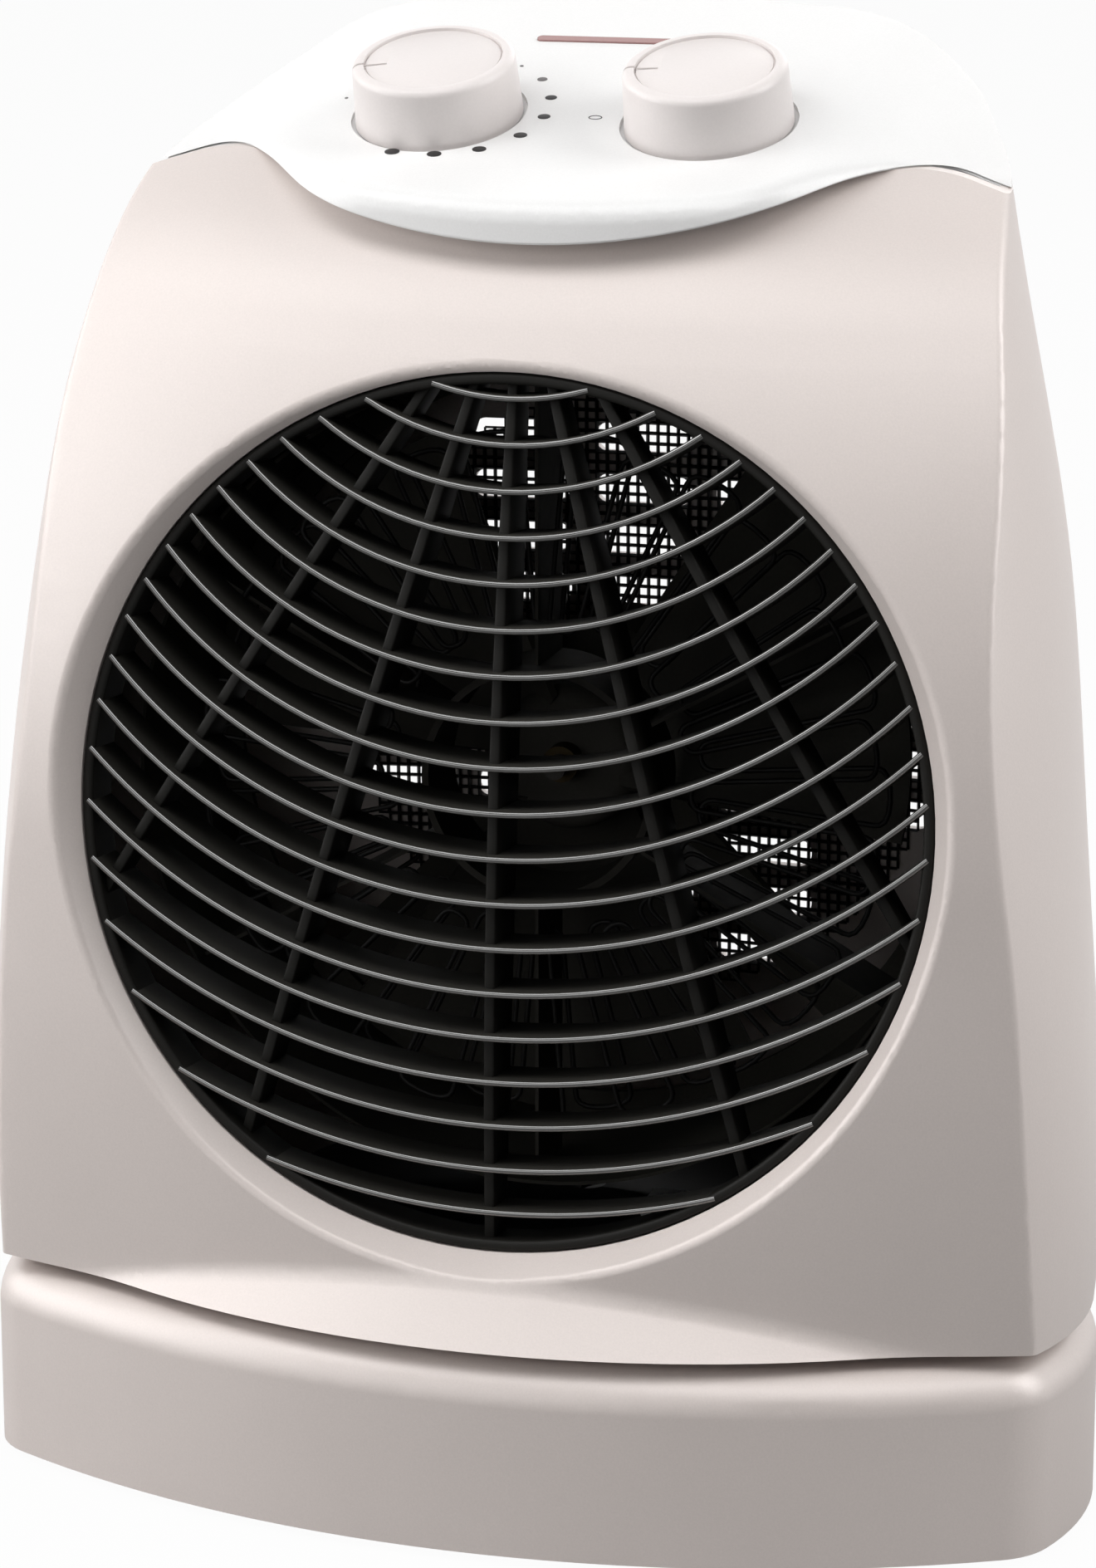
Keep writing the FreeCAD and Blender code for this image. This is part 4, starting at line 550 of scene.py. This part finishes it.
class MakeKnobs(bpy.types.Operator):
    """Makes the two knobs with rounded rims, inset discs and pointers"""
    bl_idname = "heater.make_knobs"
    bl_label = "Knobs"

    def execute(self, context):
        sizes = context.scene.heater_sizes
        material = finishes()["knob"]
        pattern = self.knob(sizes)
        for node, x, turn in KNOBS:
            cap = copy_of(pattern, node + "_cap")
            place = Matrix.Translation((x, 0, -sizes.knob_sink)) @ Matrix.Rotation(math.radians(turn), 4, "Z")
            settle(cap, PANEL_FRAME @ place)
            finish_piece(cap, node, "knob_plastic", material, node)
        remove(pattern)
        return {"FINISHED"}

    def knob(self, sizes):
        """One knob that stands at the origin and points along -x."""
        rise, top = sizes.knob_rise, sizes.knob_top
        deselect()
        bpy.ops.mesh.primitive_cylinder_add(vertices=KNOB_SIDES, radius=sizes.knob_foot, depth=rise,
                                            location=(0, 0, rise / 2))
        obj = bpy.context.active_object
        settle(obj)
        mesh = obj.data
        pick(mesh, lambda v: v.co.z > rise / 2)
        taper = top / sizes.knob_foot
        bpy.ops.transform.resize(value=(taper, taper, 1), center_override=(0, 0, rise))
        pick(mesh, lambda f: f.normal.z > FACING, "FACE")
        bpy.ops.mesh.inset(thickness=top - sizes.knob_dish)
        bpy.ops.mesh.extrude_region_move(TRANSFORM_OT_translate={"value": (0, 0, -DISH_DEPTH)})
        bpy.ops.mesh.inset(thickness=DISC_GAP)
        bpy.ops.mesh.extrude_region_move(TRANSFORM_OT_translate={"value": (0, 0, DISC_RISE)})
        pick(mesh, lambda e: self.on_rim(mesh, e, rise, top), "EDGE")
        bpy.ops.mesh.bevel(offset=RIM_EDGE, segments=RIM_STEPS, affect="EDGES")
        deselect()
        bpy.ops.mesh.primitive_cube_add(size=1, location=(-POINTER_MIDDLE, 0, rise))
        cutter = bpy.context.active_object
        cutter.scale = POINTER_SIZE
        settle(cutter)
        carve(obj, cutter)
        modify(obj, "BEVEL", width=POINTER_EDGE, segments=SOFT_STEPS, limit_method="ANGLE",
               angle_limit=POINTER_BEND)
        outward(obj)
        smooth(obj, KNOB_CREASE)
        return obj

    def on_rim(self, mesh, edge, rise, top):
        """Whether an edge lies on the knob's outer rim."""
        ends = [mesh.vertices[i].co for i in edge.vertices]
        return all(abs(p.z - rise) < RIM_NEAR and p.xy.length > top - RIM_NEAR for p in ends)


# distance from the left knob's axis, turn in degrees and width of each dot, in millimetres
LEFT_DOTS = ((25.3, 163, 0.9), (28.1, 64, 0.9), (26.6, 44.5, 2.35), (25.3, 21.7, 2.7), (24.5, -1, 2.9),
             (23.9, -25, 3.1), (22.7, -51, 3.2), (21.3, -77, 3.3), (20.9, -104, 3.4))
GREY_DOTS = 3
DOT_SIDES = 32
DOT_DEPTH = 0.3 * MM
DOT_SCALE = (1, 0.82, 1)
DOT_EDGE = 0.06 * MM
ZERO_RADIUS = 1.45 * MM
ZERO_STROKE = 0.15 * MM
ZERO_STEPS = 48
ZERO_SIDES = 10
ZERO_SCALE = (1, 0.62, 0.8)
ZERO_REACH = 26 * MM
ABOVE_PANEL = 50 * MM


class MakeDial(bpy.types.Operator):
    """Makes the printed dots round the left knob and the mark beside the right one"""
    bl_idname = "heater.make_dial"
    bl_label = "Dial marks"

    def execute(self, context):
        made = finishes()
        dark, grey = [], []
        for index, (radius, turn, width) in enumerate(LEFT_DOTS):
            angle = math.radians(turn)
            x, y = radius * MM * math.cos(angle) - KNOB_SPREAD, radius * MM * math.sin(angle)
            dot = self.dot(width * MM / 2)
            settle(dot, self.on_panel(x, y))
            (grey if index < GREY_DOTS else dark).append(dot)
        finish_piece(merge(dark, "dial_dots"), "head", "black_plastic", made["print"])
        finish_piece(merge(grey, "dial_small_dots"), "head", "dark_plastic", made["print_grey"])
        deselect()
        bpy.ops.mesh.primitive_torus_add(major_radius=ZERO_RADIUS, minor_radius=ZERO_STROKE,
                                         major_segments=ZERO_STEPS, minor_segments=ZERO_SIDES)
        zero = bpy.context.active_object
        zero.scale = ZERO_SCALE
        settle(zero)
        settle(zero, self.on_panel(KNOB_SPREAD - ZERO_REACH, 0))
        smooth(zero)
        finish_piece(merge([zero], "dial_zero"), "head", "black_plastic", made["print"])
        return {"FINISHED"}

    def dot(self, radius):
        """A thin oval print with a soft edge."""
        deselect()
        bpy.ops.mesh.primitive_cylinder_add(vertices=DOT_SIDES, radius=radius, depth=DOT_DEPTH)
        obj = bpy.context.active_object
        obj.scale = DOT_SCALE
        settle(obj)
        pick(obj.data, lambda v: v.co.z > 0)
        bpy.ops.mesh.bevel(offset=DOT_EDGE, segments=SOFT_STEPS, affect="EDGES")
        outward(obj)
        smooth(obj)
        return obj

    def on_panel(self, x, y):
        """The place on the panel's surface under a point of its sloping plane."""
        start = PANEL_FRAME @ Vector((x, y, ABOVE_PANEL))
        down = PANEL_FRAME.to_3x3() @ Vector((0, 0, -1))
        hit, place, normal, _ = bpy.data.objects["control_panel_shell"].ray_cast(start, down)
        if not hit:
            raise RuntimeError("the dial mark misses the panel")
        return Matrix.Translation(place) @ normal.to_track_quat("Z", "Y").to_matrix().to_4x4()


GRILLE_RADIUS = 96.6 * MM
GRILLE_DEPTH = 12.0 * MM
GRILLE_DOME = 7.0 * MM
GRILLE_REACH = 95.4 * MM
SLAT_TOP = 5.4 * MM
SLAT_BEND = 60 * MM
SLAT_BEND_STEP = 6.6 * MM
SLAT_STEP = 4 * MM
SLAT_STEPS_LEAST = 6
EDGE_STEPS = 4
EDGE_BAND = 0.55 * MM
RIBS_EACH_SIDE = 2
RIB_TURN = math.radians(16)
RIB_FOCUS = 27.7 * MM
RIB_WIDTH = 2.4 * MM
RIB_RECESS = 3 * MM
RIB_CUTS = 24
RIB_EDGE = 0.4 * MM
RIB_BEND = math.radians(60)
RING_WIDTH = 2.4 * MM
RING_EDGE = 0.9 * MM
RING_STEPS = 144


def dome(x, y):
    """How far the grille's front stands out at a place."""
    ball = (GRILLE_RADIUS ** 2 + GRILLE_DOME ** 2) / (2 * GRILLE_DOME)
    return math.sqrt(ball ** 2 - x * x - y * y) - ball + GRILLE_DOME


class MakeGrille(bpy.types.Operator):
    """Makes the grille's ring, its curved slats and the ribs behind them"""
    bl_idname = "heater.make_grille"
    bl_label = "Grille"

    def execute(self, context):
        sizes = context.scene.heater_sizes
        made = finishes()
        slats = merge([self.slat(sizes, k) for k in range(sizes.slat_count)], "grille_slats")
        ribs = merge([self.rib(k) for k in range(-RIBS_EACH_SIDE, RIBS_EACH_SIDE + 1)], "grille_ribs")
        ring = merge([self.ring()], "grille_ring")
        for obj, finish in ((slats, "slat_black"), (ribs, "black"), (ring, "black")):
            settle(obj, GRILLE_FRAME)
            smooth(obj, GRILLE_CREASE)
            finish_piece(obj, "head", "black_plastic", made[finish], "front_grille")
        return {"FINISHED"}

    def section(self, place, width, edge):
        """An upright strip whose front corners are rounded, ready to be spun."""
        deselect()
        bpy.ops.mesh.primitive_plane_add(size=1)
        obj = bpy.context.active_object
        obj.scale = (width, GRILLE_DEPTH, 1)
        settle(obj)
        settle(obj, place)
        pick(obj.data, lambda v: v.co.z > -GRILLE_DEPTH / 2)
        bpy.ops.mesh.bevel(offset=edge, segments=EDGE_STEPS, affect="VERTICES")
        bpy.ops.mesh.select_all(action="SELECT")
        return obj

    def slat(self, sizes, k):
        """One smile-curved slat: half of it is spun and mirrored, then its front follows the dome."""
        bend = SLAT_BEND + SLAT_BEND_STEP * k
        middle = GRILLE_RADIUS - SLAT_TOP - sizes.slat_pitch * k + bend
        turn = math.acos((bend ** 2 + middle ** 2 - GRILLE_REACH ** 2) / (2 * bend * middle))
        steps = max(SLAT_STEPS_LEAST, int(turn * bend / SLAT_STEP))
        place = Matrix.Translation((0, middle - bend, -GRILLE_DEPTH / 2))
        place = place @ Matrix.Rotation(QUARTER_TURN, 4, "Y") @ Matrix.Rotation(QUARTER_TURN, 4, "Z")
        obj = self.section(place, sizes.slat_thickness, sizes.slat_edge)
        mesh = obj.data
        bpy.ops.mesh.spin(steps=steps, angle=turn, center=(0, middle, 0), axis=(0, 0, 1))
        pick(mesh, lambda f: all(abs(mesh.vertices[i].co.x) < MERGE_DISTANCE for i in f.vertices), "FACE")
        bpy.ops.mesh.delete(type="FACE")
        deselect()
        modify(obj, "MIRROR", use_mirror_merge=True, merge_threshold=MERGE_DISTANCE)
        outward(obj)
        self.follow_dome(obj, 0)
        self.mark_edge(obj)
        return obj

    def mark_edge(self, obj):
        """Marks the rounded front of a slat."""
        mark = obj.data.attributes.new(EDGE_MARK, "FLOAT", "POINT")
        for vertex, value in zip(obj.data.vertices, mark.data):
            drop = dome(vertex.co.x, vertex.co.y) - vertex.co.z
            value.value = 1.0 if drop < EDGE_BAND else 0.0

    def rib(self, k):
        """A straight rib on a ray from a point above the grille, set back behind the slats."""
        turn = k * RIB_TURN
        focus = Vector((0, GRILLE_RADIUS + RIB_FOCUS))
        ray = Vector((math.sin(turn), -math.cos(turn)))
        middle = focus - ray * focus.dot(ray)
        half = math.sqrt(GRILLE_REACH ** 2 - middle.length_squared)
        deselect()
        bpy.ops.mesh.primitive_cube_add(size=1)
        obj = bpy.context.active_object
        obj.scale = (RIB_WIDTH, 2 * half, GRILLE_DEPTH)
        settle(obj)
        place = Matrix.Translation((middle.x, middle.y, -GRILLE_DEPTH / 2))
        settle(obj, place @ Matrix.Rotation(turn, 4, "Z"))
        pick(obj.data, lambda e: (obj.data.vertices[e.vertices[0]].co
                                  - obj.data.vertices[e.vertices[1]].co).length > half, "EDGE")
        bpy.ops.mesh.subdivide(number_cuts=RIB_CUTS)
        deselect()
        self.follow_dome(obj, RIB_RECESS)
        modify(obj, "BEVEL", width=RIB_EDGE, segments=SOFT_STEPS, limit_method="ANGLE", angle_limit=RIB_BEND)
        outward(obj)
        return obj

    def ring(self):
        """The outer ring, spun all round, without the strip that it was spun from."""
        place = Matrix.Translation((GRILLE_RADIUS - RING_WIDTH / 2, 0, -GRILLE_DEPTH / 2))
        obj = self.section(place @ Matrix.Rotation(QUARTER_TURN, 4, "X"), RING_WIDTH, RING_EDGE)
        bpy.ops.mesh.spin(steps=RING_STEPS, angle=2 * math.pi, center=(0, 0, 0), axis=(0, 0, 1))
        outward(obj)
        pick(obj.data, lambda f: abs(f.normal.y) > FACING and f.center.x > 0
             and abs(f.center.y) < MERGE_DISTANCE, "FACE")
        bpy.ops.mesh.delete(type="ONLY_FACE")
        outward(obj)
        return obj

    def follow_dome(self, obj, recess):
        """Moves the front of a slat or rib out to the dome, less a recess."""
        for vertex in obj.data.vertices:
            if vertex.co.z > -GRILLE_DEPTH / 2:
                vertex.co.z += dome(vertex.co.x, vertex.co.y) - recess


FRONT_WIRE_Y = -25.1 * MM
BACK_WIRE_Y = -14.5 * MM
BACK_SHIFT = 0.5
PETAL_RADII = (36 * MM, 42 * MM, 72 * MM, 79 * MM)
WIRE_ROUNDING = 3
WIRE_STEPS = 4
WIRE_ORDER = 3


class MakeWinding(bpy.types.Operator):
    """Makes the heating wire that runs to and fro like the petals of a daisy"""
    bl_idname = "heater.make_winding"
    bl_label = "Heating wire"

    def execute(self, context):
        sizes = context.scene.heater_sizes
        front = self.daisy(sizes, "front_wire", FRONT_WIRE_Y, 0)
        back = self.daisy(sizes, "back_wire", BACK_WIRE_Y, BACK_SHIFT)
        wire = merge([front, back], "heating_wire")
        smooth(wire)
        finish_piece(wire, "head", "heater_wire", finishes()["wire"], "heater_winding")
        return {"FINISHED"}

    def daisy(self, sizes, name, y, shift):
        """One layer of the wire as a smooth tube, made a mesh."""
        loops = sizes.wire_loops
        half = math.pi / (2 * loops)
        points = []
        for k in range(loops):
            middle = 4 * half * (k + shift)
            for turn, radii in ((-half, PETAL_RADII), (half, PETAL_RADII[::-1])):
                points += [(radius, middle + turn) for radius in radii]
        curve = bpy.data.curves.new(name, "CURVE")
        curve.dimensions = "3D"
        curve.bevel_depth = sizes.wire_radius
        curve.bevel_resolution = WIRE_ROUNDING
        curve.resolution_u = WIRE_STEPS
        spline = curve.splines.new("NURBS")
        spline.points.add(len(points) - 1)
        for point, (radius, turn) in zip(spline.points, points):
            point.co = (radius * math.sin(turn), y, FAN_AXIS.z + radius * math.cos(turn), 1)
        spline.order_u = WIRE_ORDER
        spline.use_endpoint_u = True
        obj = bpy.data.objects.new(name, curve)
        bpy.context.scene.collection.objects.link(obj)
        deselect()
        obj.select_set(True)
        bpy.context.view_layer.objects.active = obj
        bpy.ops.object.convert(target="MESH")
        outward(obj)
        return obj


NET_HALF = 74 * MM
NET_MESH = 2.5 * MM
NET_STRAND = 1.3 * MM
NET_GAP = 0.7 * MM

# the inside of the back, which bows sideways and leans forward with height
WALL_FOOT = Vector((0, 74.2, 80)) * MM
WALL_LEAN = -0.03875
WALL_BOW = 455 * MM


class MakeNet(bpy.types.Operator):
    """Makes the dust net that lies against the inside of the slotted back"""
    bl_idname = "heater.make_net"
    bl_label = "Dust net"

    def execute(self, context):
        deselect()
        cells = int(2 * NET_HALF / NET_MESH)
        bpy.ops.mesh.primitive_grid_add(x_subdivisions=cells, y_subdivisions=cells, size=2 * NET_HALF)
        net = context.active_object
        settle(net, Matrix.Translation(FAN_AXIS) @ Matrix.Rotation(QUARTER_TURN, 4, "X"))
        pick(net.data, lambda f: (f.center - FAN_AXIS).length > NET_HALF, "FACE")
        bpy.ops.mesh.delete(type="FACE")
        deselect()
        for vertex in net.data.vertices:
            vertex.co.y = self.wall(vertex.co.x, vertex.co.z) - NET_GAP
        modify(net, "WIREFRAME", thickness=NET_STRAND, use_replace=True, use_even_offset=False)
        smooth(net)
        finish_piece(merge([net], "dust_net"), "head", "dark_plastic", finishes()["dark"])
        return {"FINISHED"}

    def wall(self, x, z):
        """Where the bowed and leaning inside of the back lies."""
        return WALL_FOOT.y + WALL_LEAN * (z - WALL_FOOT.z) - x * x / (2 * WALL_BOW)


# place, width, depth and power of each lamp, all of which face the heater
LAMPS = {
    "top": ((-0.1, -0.75, 1.7), 2.4, 0.9, 18.2), "front": ((-0.6, -2.0, 0.7), 1.2, 1.2, 6),
    "left": ((-1.7, -0.9, 0.7), 1.2, 1.2, 17), "left_side": ((-1.9, 0.1, 0.9), 1.0, 1.0, 9),
    "left_high": ((-1.4, -0.5, 1.6), 0.9, 0.9, 6), "right_high": ((1.5, 0.1, 1.5), 0.9, 0.9, 12),
    "right_side": ((1.9, 0.1, 0.9), 1.0, 1.0, 13), "back": ((0.3, 2.0, 1.2), 1.2, 1.2, 8),
}
LAMP_TARGET = Vector((0, 0, 0.17))
FLOOR_SIZE = 12
FLOOR_MIDDLE = (0, 3.0, 0)
FLOOR_SHADE = 0.25
FLOOR_ROUGHNESS = 0.8
FLOOR_GLOW = 0.93
FLOOR_WHITE = 1.04
SKY_LIGHT = 0.05
BACKDROP_FROM = -0.2
BACKDROP_TO = 0.4
CAMERA_EYE = Vector((287.7, -1026.8, 426.1)) * MM
CAMERA_TARGET = Vector((10.59, -52.0, 169.5)) * MM
CAMERA_LENS = 110.46
CAMERA_SENSOR = 36.0
CAMERA_NEAR = 0.05
CAMERA_FAR = 50


class MakeStage(bpy.types.Operator):
    """Makes the floor, the light and the camera"""
    bl_idname = "heater.make_stage"
    bl_label = "Stage"

    def execute(self, context):
        scene = context.scene
        scene.view_settings.view_transform = "Standard"
        deselect()
        bpy.ops.mesh.primitive_plane_add(size=FLOOR_SIZE, location=FLOOR_MIDDLE)
        floor = context.active_object
        floor.name = "floor"
        settle(floor)
        floor.data.materials.append(self.floor_material())
        self.sky(scene)
        for name, (place, width, depth, power) in LAMPS.items():
            self.lamp(name, place, width, depth, power)
        self.camera(scene)
        return {"FINISHED"}

    def camera(self, scene):
        """The camera that was fitted to the outline of the heater."""
        data = bpy.data.cameras.new("camera")
        data.lens = CAMERA_LENS
        data.sensor_width = CAMERA_SENSOR
        data.clip_start = CAMERA_NEAR
        data.clip_end = CAMERA_FAR
        camera = bpy.data.objects.new("camera", data)
        camera.location = CAMERA_EYE
        camera.rotation_euler = (CAMERA_TARGET - CAMERA_EYE).to_track_quat("-Z", "Y").to_euler()
        scene.collection.objects.link(camera)
        scene.camera = camera

    def floor_material(self):
        """Pale floor that the camera sees as white, apart from the shadow."""
        material = bpy.data.materials.new("pale_floor")
        material.use_nodes = True
        nodes, links = material.node_tree.nodes, material.node_tree.links
        shader = nodes["Principled BSDF"]
        shader.inputs["Base Color"].default_value = (FLOOR_SHADE, FLOOR_SHADE, FLOOR_SHADE, 1)
        shader.inputs["Roughness"].default_value = FLOOR_ROUGHNESS
        shader.inputs["Specular IOR Level"].default_value = 0.0
        glow = nodes.new("ShaderNodeEmission")
        glow.inputs["Strength"].default_value = FLOOR_WHITE
        mix = nodes.new("ShaderNodeMixShader")
        share = nodes.new("ShaderNodeMath")
        share.operation = "MULTIPLY"
        share.inputs[1].default_value = FLOOR_GLOW
        links.new(self.seen(material.node_tree), share.inputs[0])
        links.new(share.outputs[0], mix.inputs["Fac"])
        links.new(shader.outputs["BSDF"], mix.inputs[1])
        links.new(glow.outputs["Emission"], mix.inputs[2])
        links.new(mix.outputs["Shader"], nodes["Material Output"].inputs["Surface"])
        return material

    def sky(self, scene):
        """Soft white surroundings, seen at full white and lighting the object less."""
        world = bpy.data.worlds.new("studio")
        world.use_nodes = True
        scene.world = world
        nodes, links = world.node_tree.nodes, world.node_tree.links
        level = nodes.new("ShaderNodeMapRange")
        level.inputs["To Min"].default_value = SKY_LIGHT
        level.inputs["To Max"].default_value = 1.0
        links.new(self.seen(world.node_tree), level.inputs["Value"])
        links.new(level.outputs["Result"], nodes["Background"].inputs["Strength"])
        nodes["Background"].inputs["Color"].default_value = (1, 1, 1, 1)

    def seen(self, tree):
        """One for what is seen directly, through glass or mirrored from behind, and else nothing."""
        nodes, links = tree.nodes, tree.links
        path = nodes.new("ShaderNodeLightPath")
        mirrored = self.times(tree, path.outputs["Is Glossy Ray"], self.behind(tree))
        first = nodes.new("ShaderNodeMath")
        first.operation = "MAXIMUM"
        links.new(path.outputs["Is Camera Ray"], first.inputs[0])
        links.new(path.outputs["Is Transmission Ray"], first.inputs[1])
        second = nodes.new("ShaderNodeMath")
        second.operation = "MAXIMUM"
        links.new(first.outputs[0], second.inputs[0])
        links.new(mirrored, second.inputs[1])
        return second.outputs[0]

    def times(self, tree, left, right):
        """The product of two values."""
        product = tree.nodes.new("ShaderNodeMath")
        product.operation = "MULTIPLY"
        tree.links.new(left, product.inputs[0])
        tree.links.new(right, product.inputs[1])
        return product.outputs[0]

    def behind(self, tree):
        """Rises from nothing on the dark camera side of the studio to one at the white backdrop."""
        place = tree.nodes.new("ShaderNodeNewGeometry")
        parts = tree.nodes.new("ShaderNodeSeparateXYZ")
        rise = tree.nodes.new("ShaderNodeMapRange")
        rise.inputs["From Min"].default_value = BACKDROP_FROM
        rise.inputs["From Max"].default_value = BACKDROP_TO
        tree.links.new(place.outputs["Position"], parts.inputs["Vector"])
        tree.links.new(parts.outputs["Y"], rise.inputs["Value"])
        return rise.outputs["Result"]

    def lamp(self, name, place, width, depth, power):
        """A soft lamp that faces the heater."""
        data = bpy.data.lights.new(name, "AREA")
        data.shape = "RECTANGLE"
        data.size = width
        data.size_y = depth
        data.energy = power
        lamp = bpy.data.objects.new(name, data)
        lamp.location = place
        lamp.rotation_euler = (LAMP_TARGET - Vector(place)).to_track_quat("-Z", "Y").to_euler()
        bpy.context.scene.collection.objects.link(lamp)


class HeaterPanel(bpy.types.Panel):
    """Lists the heater's pieces"""
    bl_idname = "VIEW3D_PT_heater"
    bl_label = "Fan heater"
    bl_space_type = "VIEW_3D"
    bl_region_type = "UI"
    bl_category = "Fan heater"

    def draw(self, context):
        for operator in OPERATORS:
            self.layout.operator(operator.bl_idname)


OPERATORS = (FinishNodes, MakeShells, MakeTongue, MakeKnobs, MakeDial, MakeGrille, MakeWinding, MakeNet,
             MakeStage)
CLASSES = (HeaterSizes, HeaterColours) + OPERATORS + (HeaterPanel,)


def register():
    """Makes the sizes, colours, operators and panel known to Blender."""
    for cls in CLASSES:
        bpy.utils.register_class(cls)
    bpy.types.Scene.heater_sizes = PointerProperty(type=HeaterSizes)
    bpy.types.Scene.heater_colours = PointerProperty(type=HeaterColours)


def unregister():
    """Takes them out again."""
    del bpy.types.Scene.heater_colours
    del bpy.types.Scene.heater_sizes
    for cls in reversed(CLASSES):
        bpy.utils.unregister_class(cls)


def main():
    """Makes every piece."""
    register()
    bpy.ops.heater.finish_nodes()
    bpy.ops.heater.make_shells()
    bpy.ops.heater.make_tongue()
    bpy.ops.heater.make_knobs()
    bpy.ops.heater.make_dial()
    bpy.ops.heater.make_grille()
    bpy.ops.heater.make_winding()
    bpy.ops.heater.make_net()
    bpy.ops.heater.make_stage()


if __name__ == "__main__":
    main()
